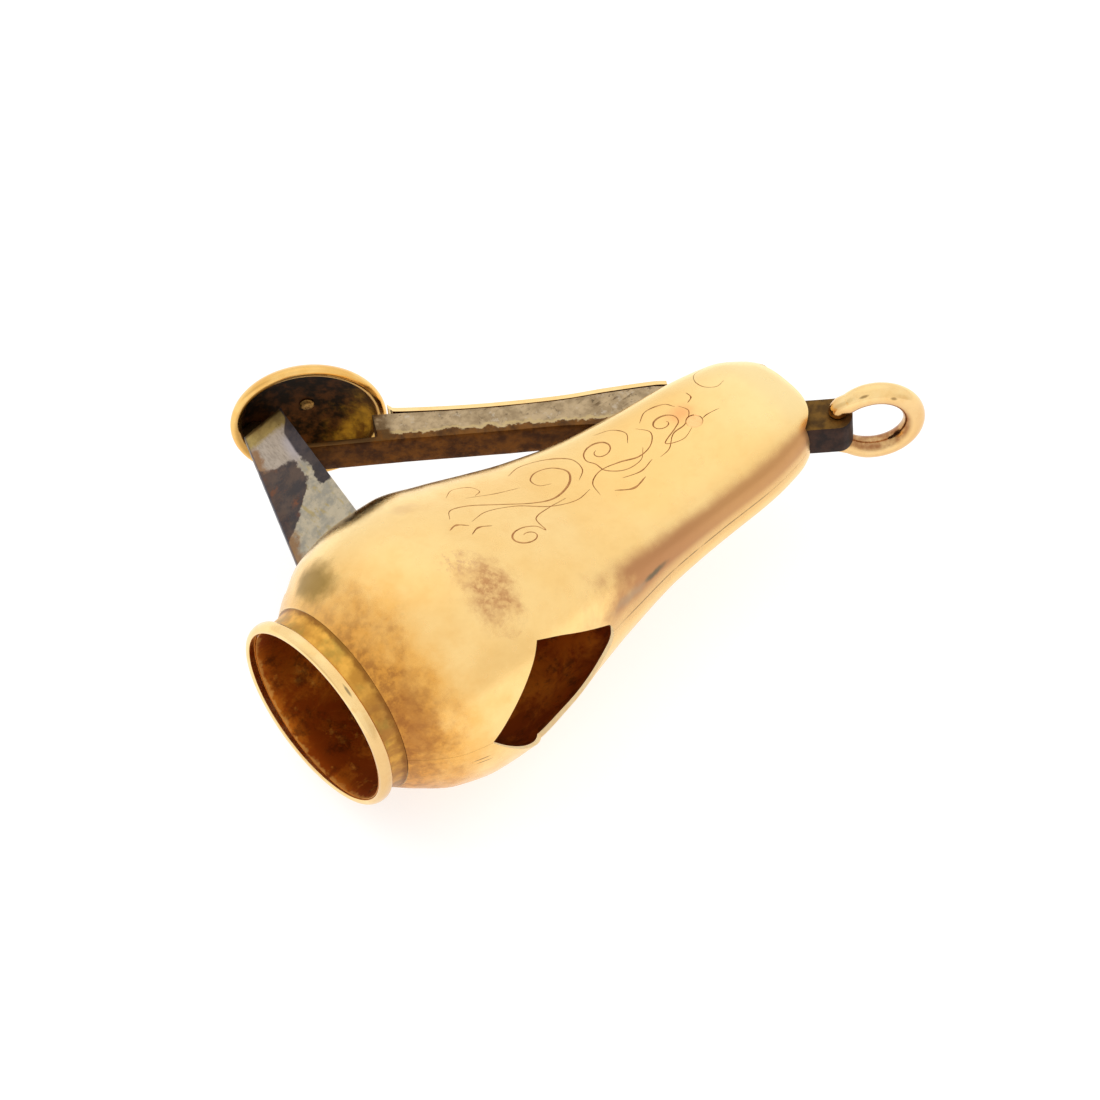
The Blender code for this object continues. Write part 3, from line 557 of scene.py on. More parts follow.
def gold_inner_material(name="gold_inner", tint=1.0):
    """Tarnished inside of the mouth and the case: brown with golden patches, and painted shade on the far inside seen
    through the port.
    """
    t = Tree(name)
    x, y, z = t.split()
    patch = t.fit(t.noise(0.38, 6.0, 0.66, seed=30.0, distortion=0.5), 0.42, 0.60)
    colour = t.mix(patch, (0.330, 0.064, 0.006), (0.560, 0.165, 0.014))
    glints = t.math("MULTIPLY", t.fit(t.noise(0.8, 6.0, 0.7, seed=31.0), 0.55, 0.68), t.fit(x, 8.0, 5.0))
    colour = t.mix(t.math("MULTIPLY", glints, 0.75), colour, (0.78, 0.36, 0.055))
    blots = t.fit(t.noise(0.75, 6.0, 0.7, seed=33.0), 0.50, 0.66)
    colour = t.mix(t.math("MULTIPLY", blots, 0.72), colour, (0.115, 0.026, 0.006))
    front_edge = t.math("ADD", x, t.fit(t.noise(1.4, 5.0, 0.65, seed=32.0), 0.3, 0.7, -0.25, 0.25, "LINEAR"))
    colour = t.mix(t.math("MULTIPLY", t.fit(front_edge, 0.72, 0.55), 0.60), colour, (0.80, 0.42, 0.10))
    # painted shade on the far inside, seen through the port
    painted_shade_far_inside = t.math("MULTIPLY", t.fit(x, 11.6, 10.0), t.fit(x, 8.0, 8.6))
    colour = t.mix(t.math("MULTIPLY", painted_shade_far_inside, 0.72), colour, (0.085, 0.024, 0.006))
    dots = t.spots(0.55, 4.0, 0.06, 0.16)
    colour = t.mix(t.math("MULTIPLY", dots, 0.7), colour, (0.06, 0.018, 0.006))
    rough = t.blend(patch, 0.55, 0.40)
    normal = t.bump(t.noise(2.2, 6.0, 0.65, seed=35.0), 0.25, 0.02)
    return t.done(colour, rough, 1.0, normal)


def gold_collar_material():
    t = Tree("gold_collar")
    x, y, z = t.split()
    patch = t.fit(t.noise(0.7, 5.0, 0.6, seed=40.0), 0.35, 0.65)
    colour = t.mix(patch, (0.88, 0.470, 0.085), (0.56, 0.265, 0.042))
    pink = t.math("MULTIPLY", t.fit(y, -2.0, -5.6), t.fit(t.noise(1.1, 5.0, 0.65, (0.5, 1.0, 1.0), seed=41.0), 0.34, 0.60, 0.35, 1.0))
    colour = t.mix(t.math("MULTIPLY", pink, 0.82), colour, (0.35, 0.150, 0.040))
    green = t.math("MULTIPLY", t.fit(t.noise(0.5, 4.0, 0.6, seed=42.0), 0.5, 0.66), 0.45)
    colour = t.mix(green, colour, (0.30, 0.23, 0.05))
    edge = t.fit(t.math("ADD", x, t.fit(t.noise(1.2, 5.0, 0.65, seed=43.0), 0.3, 0.7, -0.2, 0.2, "LINEAR")), 2.0, 2.4)
    colour = t.mix(t.math("MULTIPLY", edge, 0.72), colour, (0.20, 0.070, 0.014))
    normal = t.bump(t.noise(2.0, 6.0, 0.6, seed=44.0), 0.25, 0.02)
    return t.done(colour, 0.40, 1.0, normal)


def gold_rim_material(name="gold_rim", seed=50.0, ring=False):
    """Bright worn gold; the rim has painted shade where it turns down, and a ring has painted shade, brown on its
    inner side and darker below.
    """
    t = Tree(name)
    cloud = t.fit(t.noise(0.4, 4.0, 0.6, seed=seed), 0.35, 0.65)
    colour = t.mix(cloud, (0.98, 0.72, 0.345), (0.95, 0.645, 0.27))
    wear = t.fit(t.noise(1.8, 6.0, 0.65, seed=seed + 2), 0.5, 0.72)
    colour = t.mix(t.math("MULTIPLY", wear, 0.35), colour, (0.80, 0.46, 0.15))
    if name == "gold_rim":
        # painted shade where it turns down, and one short nick on its outer side
        x, y, z = t.split()
        colour = t.mix(t.math("MULTIPLY", t.fit(y, -4.4, -6.4), 0.60), colour, (0.66, 0.39, 0.155))
        nick = t.blob((0.76, -3.50, 5.60), (0.46, 0.10, 0.40), (0.0, -0.72, -0.46), (1, 0, 0), 0.25, 1.5, 0.40, 1.15, seed + 9)
        colour = t.mix(t.math("MULTIPLY", nick, 0.75), colour, (0.17, 0.12, 0.055))
    if ring:
        # painted shade: the wire is darkened brown on its inner side and on its lower half
        centre = TAB + Vector((math.cos(BOW_TURN), math.sin(BOW_TURN), 0.0)) * 2.35
        inward = t.nodes.new("ShaderNodeVectorMath")
        inward.operation = "NORMALIZE"
        t.links.new(t.vector("SUBTRACT", tuple(centre), t.at), inward.inputs[0])
        inner = t.fit(t.vector("DOT_PRODUCT", t.facing, inward.outputs[0]), -0.20, 0.50)
        uneven = t.fit(t.noise(0.9, 5.0, 0.65, seed=seed + 3), 0.32, 0.60, 0.45, 1.0)
        colour = t.mix(t.math("MULTIPLY", inner, uneven), colour, (0.36, 0.155, 0.060))
        low = t.math("MULTIPLY", t.faces((0.3, -0.5, -0.8), -0.35, 0.55), 0.55)
        colour = t.mix(low, colour, (0.66, 0.36, 0.15))
        near_end = t.fit(t.vector("DISTANCE", t.at, tuple(TAB + Vector((0.0, 0.0, 1.2)))), 1.35, 0.75)
        colour = t.mix(t.math("MULTIPLY", near_end, 0.60), colour, (0.62, 0.31, 0.09))
        # two short worn nicks on the top of the wire
        for place, along, length in (
            ((1.11, -1.31, 2.95), (0.50, -0.30, 0.16), 0.40), ((2.61, -2.44, 2.556), (0.42, -0.26, -0.20), 0.26)
        ):
            nick = t.blob(TAB + Vector(place), (length, 0.10, 0.14), along, (0.3, 0.8, 0.4), 0.25, 1.5, 0.35, 1.15, seed + 9)
            colour = t.mix(t.math("MULTIPLY", nick, 0.70), colour, (0.20, 0.115, 0.030))
    rough = t.fit(t.noise(1.3, 4.0, 0.6, seed=seed + 4), 0.35, 0.7, 0.12, 0.24, "LINEAR")
    normal = t.bump(hand_scratches(t, seed + 6), 0.08, 0.006)
    normal = t.bump(t.noise(0.5, 3.0, 0.5, seed=seed + 7), 0.25, 0.04, normal)
    return t.done(colour, rough, 1.0, normal)


def gold_thumb_material():
    """Bright outside and bead; the hollow has painted shade, dark brown above, and painted light, gold towards its
    lower right.
    """
    t = Tree("gold_thumb")
    x, y, z = t.split()
    cloud = t.fit(t.noise(0.5, 4.0, 0.6, seed=60.0), 0.35, 0.65)
    colour = t.mix(cloud, (0.93, 0.59, 0.20), (0.86, 0.49, 0.135))
    centre = THUMB_SPOT
    away = t.vector("SUBTRACT", t.at, tuple(centre))
    up = t.vector("DOT_PRODUCT", away, tuple(THUMB_UP))
    side = t.vector("DOT_PRODUCT", away, tuple(THUMB_ALONG))
    flat = t.math("SUBTRACT", t.vector("DOT_PRODUCT", away, away), t.math("MULTIPLY", up, up))
    radius = t.math("SQRT", t.math("MAXIMUM", flat, 0.0))
    facing = t.vector("DOT_PRODUCT", t.facing, tuple(THUMB_UP))
    hollow = t.math("MULTIPLY", t.fit(radius, 4.50, 4.28), t.fit(facing, 0.25, -0.05))
    ragged = t.fit(t.noise(1.0, 6.0, 0.65, seed=63.0), 0.3, 0.7, -1.3, 1.3, "LINEAR")
    gold_share = t.fit(t.math("ADD", t.math("SUBTRACT", side, t.math("MULTIPLY", z, 0.5)), ragged), 1.6, 5.4)
    # painted shade and light in the hollow: dark brown above, lit gold towards the lower right
    dark = t.mix(t.fit(t.noise(1.4, 5.0, 0.6, seed=66.0), 0.4, 0.65), (0.012, 0.006, 0.002), (0.075, 0.026, 0.006))
    lit = t.mix(t.fit(t.noise(0.9, 6.0, 0.65, seed=67.0), 0.4, 0.64), (0.44, 0.215, 0.016), (0.135, 0.050, 0.005))
    inside = t.mix(gold_share, dark, lit)
    colour = t.mix(hollow, colour, inside)
    # darker where the hollow meets the bead, on the faces turned away from the top
    bead_edge_dark = t.math("MULTIPLY", t.fit(radius, 4.2, 4.5), t.fit(radius, 4.9, 4.6))
    bead_edge_dark = t.math("MULTIPLY", bead_edge_dark, t.fit(facing, 0.0, -0.3))
    colour = t.mix(t.math("MULTIPLY", bead_edge_dark, 0.55), colour, (0.30, 0.15, 0.03))
    rough = t.blend(hollow, 0.22, 0.48)
    normal = t.bump(hand_scratches(t, 68.0), 0.08, 0.006)
    normal = t.bump(t.math("MULTIPLY", t.noise(2.0, 6.0, 0.65, seed=69.0), hollow), 0.4, 0.03, normal)
    return t.done(colour, rough, 1.0, normal)


def lever_steel_material():
    """Grey worn steel on the front; brown below, partly rust and partly painted shade; olive-brown at the tab."""
    t = Tree("lever_steel")
    x, y = t.lever_place()
    face_up = t.faces((0.0, 0.0, 1.0), 0.45, 0.8)
    mottled = t.fit(t.noise(1.2, 6.0, 0.65, seed=70.0), 0.38, 0.64)
    grey = t.mix(mottled, (0.52, 0.385, 0.225), (0.33, 0.235, 0.130))
    pale = t.fit(t.noise(2.2, 5.0, 0.65, seed=71.0), 0.55, 0.68)
    grey = t.mix(t.math("MULTIPLY", pale, 0.6), grey, (0.58, 0.49, 0.37))
    height = t.math("SUBTRACT", y, t.math("MULTIPLY_ADD", t.math("SUBTRACT", x, 13.6), -0.19, 5.82))
    high_edge = t.fit(t.math("SUBTRACT", y, t.math("MULTIPLY_ADD", t.math("SUBTRACT", x, 13.6), -0.215, 8.05)), -0.75, -0.05)
    pits = t.fit(t.noise(2.8, 6.0, 0.7, seed=72.0), 0.56, 0.68)
    pits = t.math("MULTIPLY", pits, t.blend(high_edge, 0.65, 1.0))
    grey = t.mix(t.math("MULTIPLY", pits, 0.85), grey, (0.060, 0.040, 0.022))
    streaks = t.fit(t.noise(1.0, 5.0, 0.65, (0.9, 3.6, 1.0), (0, 0, 37), 73.0), 0.55, 0.68)
    grey = t.mix(t.math("MULTIPLY", streaks, t.math("MULTIPLY", high_edge, 0.75)), grey, (0.105, 0.060, 0.025))
    brown = t.mix(t.fit(t.noise(0.8, 6.0, 0.7, seed=74.0), 0.38, 0.62), (0.064, 0.022, 0.005), (0.185, 0.068, 0.009))
    brown = t.mix(t.math("MULTIPLY", pits, 0.6), brown, (0.018, 0.010, 0.006))
    # painted shade, partly rust: faces turned away from the front get the darker brown
    colour = t.mix(face_up, brown, grey)
    # painted shade, partly rust: the lower strip of the front face is darkened brown with a ragged, pale-lipped
    # border, standing in for the shaded inner face of a channel
    ragged = t.fit(t.noise(1.3, 6.0, 0.7, seed=76.0), 0.3, 0.7, -0.30, 0.30, "LINEAR")
    border = t.math("ADD", height, ragged)
    lip = t.math("MULTIPLY", t.fit(border, 0.50, 0.60), t.fit(border, 0.85, 0.70))
    colour = t.mix(t.math("MULTIPLY", t.math("MULTIPLY", lip, face_up), 0.55), colour, (0.62, 0.46, 0.20))
    low = t.math("MULTIPLY", t.fit(border, 0.60, 0.46), t.fit(x, 31.0, 29.5))
    colour = t.mix(t.math("MULTIPLY", t.math("MULTIPLY", low, face_up), 0.94), colour, brown)
    # painted shade, partly rust: the tongue under the dish is given the same brown
    tongue = t.math("MULTIPLY", t.fit(x, 13.15, 12.9), t.fit(height, 1.05, 0.85))
    colour = t.mix(t.math("MULTIPLY", tongue, 0.94), colour, brown)
    # painted shade: a dark mottled patch at the bar's left end
    painted_shade_bar_end = t.math("MULTIPLY", t.fit(x, 13.35, 12.75), t.fit(t.noise(1.6, 5.0, 0.65, seed=77.0), 0.30, 0.55))
    colour = t.mix(t.math("MULTIPLY", t.math("MULTIPLY", painted_shade_bar_end, face_up), 0.75), colour, (0.105, 0.055, 0.018))
    tab = t.fit(x, 34.5, 36.0)
    olive = t.mix(mottled, (0.205, 0.105, 0.022), (0.090, 0.046, 0.014))
    # painted shade, partly real colour: the tab's sides are darker than its front
    tab_side = t.mix(mottled, (0.060, 0.031, 0.022), (0.027, 0.018, 0.016))
    colour = t.mix(tab, colour, t.mix(face_up, tab_side, olive))
    rough = t.blend(t.math("MAXIMUM", tab, t.math("SUBTRACT", 1.0, face_up)), 0.46, 0.56)
    normal = t.bump(t.noise(1.8, 6.0, 0.65, seed=78.0), 0.35, 0.05)
    normal = t.bump(t.noise(5.0, 5.0, 0.7, seed=79.0), 0.30, 0.02, normal)
    return t.done(colour, rough, 0.92, normal)


def blade_material():
    """Worn steel: pale grey with brown and slate patina in ragged patches, a painted yellow reflection at the root and
    a painted shadow along its top.
    """
    t = Tree("blade_steel")
    away = t.vector("SUBTRACT", t.at, tuple(BLADE_TOP))
    down = t.vector("DOT_PRODUCT", away, tuple(BLADE_DOWN))
    depth = t.vector("DOT_PRODUCT", away, tuple(BLADE_BACK))
    # 0 at the ridge, 1 at the rear edge
    share = t.math("DIVIDE", depth, t.math("MULTIPLY_ADD", down, 0.171, 2.6))
    wander = t.fit(t.noise(0.9, 6.0, 0.68, seed=82.0), 0.3, 0.7, -0.5, 0.5, "LINEAR")
    tear = t.fit(t.noise(1.0, 5.0, 0.7, (1.0, 1.0, 1.0), None, 83.0), 0.3, 0.7, -1.0, 1.0, "LINEAR")
    fine_tear = t.fit(t.noise(2.6, 5.0, 0.7, seed=84.0), 0.3, 0.7, -1.0, 1.0, "LINEAR")
    brush = t.noise(1.0, 4.0, 0.6, (9.0, 1.0, 9.0), (0, 0, 32), 80.0)
    pale = t.mix(t.fit(brush, 0.4, 0.65), (0.470, 0.390, 0.310), (0.360, 0.295, 0.235))
    cool = t.math("MULTIPLY", t.fit(share, 0.55, 0.75), t.math("MULTIPLY", t.fit(down, 1.6, 2.6), t.fit(down, 5.0, 3.6)))
    pale = t.mix(t.math("MULTIPLY", cool, 0.75), pale, (0.440, 0.390, 0.400))
    lower_pale = t.mix(t.fit(t.noise(1.2, 6.0, 0.7, seed=85.0), 0.40, 0.62), (0.510, 0.435, 0.310), (0.330, 0.300, 0.240))
    olive_streak = t.fit(t.noise(1.0, 4.0, 0.6, (2.6, 0.7, 2.6), (0, 0, 32), 86.0), 0.54, 0.66)
    lower_pale = t.mix(t.math("MULTIPLY", olive_streak, 0.65), lower_pale, (0.430, 0.320, 0.110))
    colour = t.mix(t.fit(t.math("ADD", down, wander), 4.0, 5.4), pale, lower_pale)
    # painted reflection: the root, next to the gold dish, is tinted yellow
    root = t.fit(t.math("ADD", down, t.math("MULTIPLY", wander, 0.6)), 1.45, 0.95)
    painted_gold_reflection = t.mix(t.fit(t.noise(1.1, 5.0, 0.65, seed=87.0), 0.40, 0.62), (0.440, 0.320, 0.095), (0.300, 0.210, 0.060))
    colour = t.mix(t.math("MULTIPLY", root, 0.90), colour, painted_gold_reflection)
    # painted shadow: a dark strip along the top of the root, under the dish
    colour = t.mix(t.math("MULTIPLY", t.fit(down, 0.28, 0.02), 0.85), colour, (0.060, 0.030, 0.008))
    rusty = t.math("MULTIPLY", t.fit(t.math("ADD", share, t.math("MULTIPLY", wander, 0.25)), 0.20, 0.06), t.fit(down, 1.0, 1.6))
    colour = t.mix(t.math("MULTIPLY", rusty, 0.80), colour, (0.270, 0.130, 0.045))
    # brown patina on the ridge's half, from a slanting upper border to a slanting torn lower one
    patina = t.mix(t.fit(t.noise(0.7, 6.0, 0.7, seed=88.0), 0.40, 0.62), (0.110, 0.073, 0.058), (0.052, 0.043, 0.046))
    rust = t.fit(t.noise(0.9, 5.0, 0.65, seed=89.0), 0.54, 0.68)
    patina = t.mix(t.math("MULTIPLY", rust, 0.70), patina, (0.235, 0.078, 0.032))
    top_border = t.math("SUBTRACT", t.math("MULTIPLY_ADD", wander, 0.9, down), t.math("MULTIPLY", share, 1.5))
    lower_limit = t.math("MINIMUM", 0.67, t.math("MULTIPLY_ADD", down, -0.217, 2.06))
    lower_limit = t.math("ADD", lower_limit, t.math("MULTIPLY_ADD", tear, 0.055, t.math("MULTIPLY", fine_tear, 0.030)))
    left = t.math("MULTIPLY", t.fit(top_border, 3.0, 3.35), t.fit(t.math("SUBTRACT", share, lower_limit), 0.02, -0.02))
    colour = t.mix(t.math("MULTIPLY", left, 0.96), colour, patina)
    # slate strip along the rear edge, widest near the root and torn where it ends
    border = t.math("ADD", 0.765, t.math("MULTIPLY", t.fit(down, 2.0, 0.7), 0.20))
    border = t.math("ADD", border, t.math("MULTIPLY", t.fit(down, 3.6, 5.6), 0.055))
    border = t.math("ADD", border, t.math("MULTIPLY", t.math("MULTIPLY_ADD", tear, 0.06, t.math("MULTIPLY", fine_tear, 0.05)), t.fit(down, 3.2, 4.6)))
    right = t.math("MULTIPLY", t.fit(t.math("SUBTRACT", share, border), -0.02, 0.03), t.fit(t.math("MULTIPLY_ADD", fine_tear, 0.25, down), 7.25, 7.05))
    slate = t.mix(t.fit(t.noise(0.8, 6.0, 0.7, seed=90.0), 0.40, 0.62), (0.075, 0.056, 0.054), (0.040, 0.034, 0.040))
    colour = t.mix(t.math("MULTIPLY", right, 0.96), colour, slate)
    pits = t.fit(t.noise(3.0, 6.0, 0.7, seed=91.0), 0.60, 0.70)
    colour = t.mix(t.math("MULTIPLY", pits, 0.70), colour, (0.050, 0.033, 0.022))
    nose = t.fit(depth, 0.10, 0.02)
    colour = t.mix(t.math("MULTIPLY", nose, 0.6), colour, (0.085, 0.090, 0.115))
    rough = t.fit(t.noise(1.5, 5.0, 0.6, seed=92.0), 0.35, 0.7, 0.36, 0.54, "LINEAR")
    normal = t.bump(brush, 0.22, 0.02)
    normal = t.bump(t.noise(3.2, 6.0, 0.7, seed=93.0), 0.30, 0.025, normal)
    normal = t.bump(t.math("ADD", left, right), 0.5, 0.02, normal)
    return t.done(colour, rough, 0.95, normal)


def plain_metal(name, colour, second, roughness, seed, grain=2.5, metallic=1.0, glow=0.0):
    t = Tree(name)
    if glow:
        t.shader.inputs["Emission Color"].default_value = (*colour, 1.0)
        t.shader.inputs["Emission Strength"].default_value = glow
    mottled = t.fit(t.noise(grain, 6.0, 0.65, seed=seed), 0.4, 0.65)
    normal = t.bump(t.noise(grain * 1.6, 5.0, 0.65, seed=seed + 1), 0.3, 0.02)
    rough = t.fit(t.noise(grain, 4.0, 0.6, seed=seed + 2), 0.35, 0.7, roughness - 0.06, roughness + 0.08, "LINEAR")
    return t.done(t.mix(mottled, colour, second), rough, metallic, normal)


# ------------------------------------------------------------------------------------------------
# The case
# ------------------------------------------------------------------------------------------------

def case_skin(rings, around):
    start, end = STATIONS[0][0], STATIONS[-1][0]
    verts, faces = [], []
    for i in range(rings):
        t = i / (rings - 1)
        t = t - 0.09 * math.sin(2 * math.pi * t)
        x = start + (end - start) * t
        width, depth, power = (float(station_value(x, c)) for c in (1, 2, 3))
        for k in range(around):
            angle = 2 * math.pi * k / around
            c, s = math.cos(angle), math.sin(angle)
            verts.append((
                x,
                width * math.copysign(abs(c) ** (2 / power), c),
                depth * math.copysign(abs(s) ** (2 / power), s),
            ))
    for i in range(rings - 1):
        for k in range(around):
            j = (k + 1) % around
            faces.append((i * around + k, i * around + j, (i + 1) * around + j, (i + 1) * around + k))
    faces.append(tuple((rings - 1) * around + k for k in range(around)))
    return mesh_from(verts, faces, "skin")


PORT_NEAR_X, PORT_FAR_X = 7.16, 18.2
PORT_FRONT = (12.05, 4.75, 0.0, 0.42)
PORT_BACK = (11.95, 5.35, 0.28, 0.66)


def port_half(side_x, side_z, near_bow, far_bow):
    edge = []
    steps = 24
    for k in range(steps + 1):
        t = k / steps
        edge.append((PORT_NEAR_X + (side_x - PORT_NEAR_X) * t, side_z * t + 4 * near_bow * t * (1 - t)))
    for k in range(1, steps):
        t = k / steps
        z = side_z * (1 - t) + 4 * far_bow * t * (1 - t) + 0.75 * t**3
        edge.append((side_x + (PORT_FAR_X - side_x) * t, z))
    # the far corner is rounded onto the seam
    x0, z0 = edge[-1]
    edge = edge[:-1]
    x1, z1 = edge[-1]
    for k in range(1, 7):
        t = k / 7
        a = (1 - t) ** 2
        b = 2 * t * (1 - t)
        c = t * t
        edge.append((a * x1 + b * (PORT_FAR_X + 0.02) + c * PORT_FAR_X, a * z1 + b * 0.75))
    return edge


def port_cutter():
    front = port_half(*PORT_FRONT)
    back = [(x, -z) for x, z in reversed(port_half(*PORT_BACK))]
    outline = front + [(x, z) for x, z in back if abs(z) > 1e-6]
    mesh = prism(outline, -4.0, 4.0)
    mesh.transform(Matrix.Rotation(math.pi / 2, 4, "X"))
    mesh.transform(Matrix.Translation((0.0, -9.0, 0.0)))
    return mesh_from([v.co for v in mesh.vertices], [p.vertices for p in mesh.polygons])


def ribbon_cutter(path, widths, depth=0.07):
    """A closed V-shaped cutter along a path of points on the front face; it tapers to both ends."""
    verts, faces = [], []
    count = len(path)
    for i, (point, width) in enumerate(zip(path, widths)):
        before, after = path[max(i - 1, 0)], path[min(i + 1, count - 1)]
        along = (after - before).normalized()
        normal = Vector(case_normal(np.array([point]))[0])
        across = normal.cross(along).normalized()
        share = min(1.0, width / max(widths))
        for u, v in ((-0.5, 0.0), (-0.75, 0.05), (0.75, 0.05), (0.5, 0.0), (0.0, None)):
            lift = 0.05 if v else 0.0
            if v is None:
                lift = -depth * (0.35 + 0.65 * share)
            verts.append(point + across * (u * width) + normal * lift)
    for i in range(count - 1):
        for k in range(5):
            j = (k + 1) % 5
            faces.append((i * 5 + k, i * 5 + j, (i + 1) * 5 + j, (i + 1) * 5 + k))
    faces.append((0, 1, 2, 3, 4))
    faces.append(tuple((count - 1) * 5 + k for k in range(5)))
    return mesh_from(verts, faces, "engraving_tool")


def flowing(points, samples):
    """A Catmull-Rom line through points in the drawing plane."""
    points = [Vector(p) for p in points]
    padded = [points[0] * 2 - points[1]] + points + [points[-1] * 2 - points[-2]]
    line = []
    spans = len(points) - 1
    for n in range(samples):
        s = n / (samples - 1) * spans
        i = min(int(s), spans - 1)
        t = s - i
        a, b, c, d = padded[i : i + 4]
        line.append(
            0.5 * ((2 * b) + (c - a) * t + (2 * a - 5 * b + 4 * c - d) * t**2 + (3 * b - a - 3 * c + d) * t**3)
        )
    return line


def scroll(centre, radius, turns, start, direction=1, squash=0.62, lean=0.0, tail=None):
    """A flattened spiral that opens out, with an optional tail of further points."""
    points = []
    steps = max(int(turns * 10), 4)
    for k in range(steps + 1):
        t = k / steps
        angle = math.radians(start) + direction * 2 * math.pi * turns * t
        reach = radius * (0.24 + 0.76 * t)
        u, v = reach * math.cos(angle), reach * squash * math.sin(angle)
        c, s = math.cos(math.radians(lean)), math.sin(math.radians(lean))
        points.append((centre[0] + u * c - v * s, centre[1] + u * s + v * c))
    return points + list(tail or [])


# Leafy scrolls, commas and hair lines of no meaning, laid along the front face in three groups
ENGRAVING = (
    ([(12.9, 1.5), (13.5, 2.25), (14.7, 2.2), (16.5, 1.55), (18.5, 0.85), (20.3, 0.65), (21.9, 1.25), (22.6, 2.2), (22.0, 3.1), (20.9, 3.3), (20.1, 2.8), (20.2, 2.1), (21.0, 1.85)], 0.135),
    ([(14.0, 0.75), (15.5, 1.2), (17.5, 0.95), (19.4, 0.15), (21.3, -0.2), (22.7, 0.15)], 0.085),
    (scroll((16.3, -1.75), 1.45, 1.35, 120, -1, 0.60, 6, [(17.9, -0.55), (19.4, 0.05), (20.9, 0.3)]), 0.130),
    ([(12.2, 0.6), (12.9, 0.85), (13.6, 0.5)], 0.150),
    ([(13.2, -0.3), (14.0, 0.1), (14.9, -0.1)], 0.120),
    ([(14.2, 3.6), (15.1, 4.2), (16.2, 3.95), (16.5, 3.25), (15.9, 2.9)], 0.075),
    ([(19.2, 3.9), (20.5, 4.45), (22.2, 4.1), (23.5, 3.1), (23.5, 1.9), (22.7, 1.2)], 0.100),
    ([(15.2, 2.95), (17.2, 2.55), (19.0, 2.45)], 0.060),
    (scroll((25.4, 2.5), 1.30, 1.3, 107, 1, 0.78, 10, [(24.6, 0.9), (25.6, 0.2), (26.9, 0.25), (27.7, 1.0)]), 0.125),
    ([(22.9, -0.6), (23.2, 0.5), (24.3, 1.1), (25.7, 0.95), (27.0, 0.55), (28.2, 0.85), (28.9, 1.7), (28.4, 2.6)], 0.105),
    ([(23.9, -0.8), (25.0, -1.35), (26.2, -1.05)], 0.150),
    ([(25.0, -0.25), (26.3, -0.5), (27.5, -0.15)], 0.095),
    ([(26.1, 4.0), (27.2, 3.6), (27.7, 2.7), (27.2, 1.9)], 0.080),
    (scroll((30.0, 1.75), 1.10, 1.25, 20, -1, 0.75, -8, [(29.0, 0.35), (30.1, -0.1), (31.3, 0.35)]), 0.120),
    ([(28.0, -0.35), (28.9, -0.15), (29.9, 0.65), (31.0, 0.8), (31.9, 1.5), (31.7, 2.3)], 0.090),
    ([(28.9, 2.8), (29.9, 3.4), (31.1, 3.1), (31.5, 2.4)], 0.105),
    ([(32.3, 2.1), (32.8, 2.35), (32.85, 2.9)], 0.095),
    ([(31.5, 0.25), (32.5, 0.5), (33.5, 0.4)], 0.065),
    ([(35.2, 4.05), (34.4, 3.95), (33.95, 3.3), (34.0, 2.5), (34.6, 1.95), (35.3, 2.05)], 0.055),
)


def engraving_tools():
    tools = []
    for points, width in ENGRAVING:
        samples = (11 if len(points) > 8 else 18) * len(points)
        width *= 1.15
        line = flowing(points, samples)
        path = [Vector((p.x, p.y, front_height(p.x, p.y))) for p in line]
        widths = []
        for k in range(samples):
            t = k / (samples - 1)
            swell = math.sin(math.pi * t) ** 0.8 * (0.55 + 0.45 * math.sin(2 * math.pi * t * 1.3 + 0.6) ** 2)
            widths.append(max(width * (0.18 + 0.82 * swell), 0.02))
        tools.append(ribbon_cutter(path, widths, 0.05))
    return tools


THUMB_CENTRE, THUMB_TILT = (8.29, 10.0), math.radians(-7.0)
RIDGE_TOP, RIDGE_TIP = Vector((4.0, 9.6)), Vector((5.6, -6.4))


def opened(point, vector=False):
    """A point (or direction) of the closed lever, turned open."""
    spot = Vector((PIVOT[0], PIVOT[1], 0.0))
    turn = Matrix.Rotation(math.radians(-OPEN_ANGLE), 3, "Z")
    point = Vector(point)
    return turn @ point if vector else spot + turn @ (point - spot)


THUMB_SPOT = opened((THUMB_CENTRE[0], THUMB_CENTRE[1], 0.0))
THUMB_UP = opened((-math.sin(THUMB_TILT), math.cos(THUMB_TILT), 0.0), True)
THUMB_ALONG = opened((math.cos(THUMB_TILT), math.sin(THUMB_TILT), 0.0), True)
BLADE_TOP = opened((RIDGE_TOP.x, RIDGE_TOP.y, 0.0))
_down = (RIDGE_TIP - RIDGE_TOP).normalized()
BLADE_DOWN = opened((_down.x, _down.y, 0.0), True)
BLADE_BACK = opened((-_down.y, _down.x, 0.0), True)

GOLD_CASE = gold_case_material()
GOLD_INNER = gold_inner_material()
# painted highlight: the cut edges are a cream non-metallic finish with a faint glow, standing in for the bright rims
# round the port
GOLD_CUT = plain_metal("gold_cut_edge", (1.0, 0.78, 0.44), (0.98, 0.68, 0.32), 0.35, 100.0, metallic=0.0, glow=0.24)
ENGRAVED = plain_metal("engraved_line", (0.60, 0.31, 0.115), (0.40, 0.175, 0.055), 0.42, 104.0)
GOLD_COLLAR = gold_collar_material()
GOLD_RIM = gold_rim_material()
GOLD_BOW = gold_rim_material("gold_bow", 120.0, ring=True)
GOLD_THUMB = gold_thumb_material()
GOLD_COVER = gold_rim_material("gold_cover", 130.0)
LEVER_STEEL = lever_steel_material()
BLADE_STEEL = blade_material()
SPRING_STEEL = plain_metal("spring_steel", (0.10, 0.095, 0.10), (0.045, 0.05, 0.07), 0.38, 140.0)
COPPER = plain_metal("copper_pin", (0.965, 0.615, 0.262), (0.945, 0.560, 0.228), 0.25, 150.0)
WASHER_GOLD = plain_metal("washer_gold", (0.52, 0.29, 0.10), (0.34, 0.17, 0.05), 0.42, 160.0)


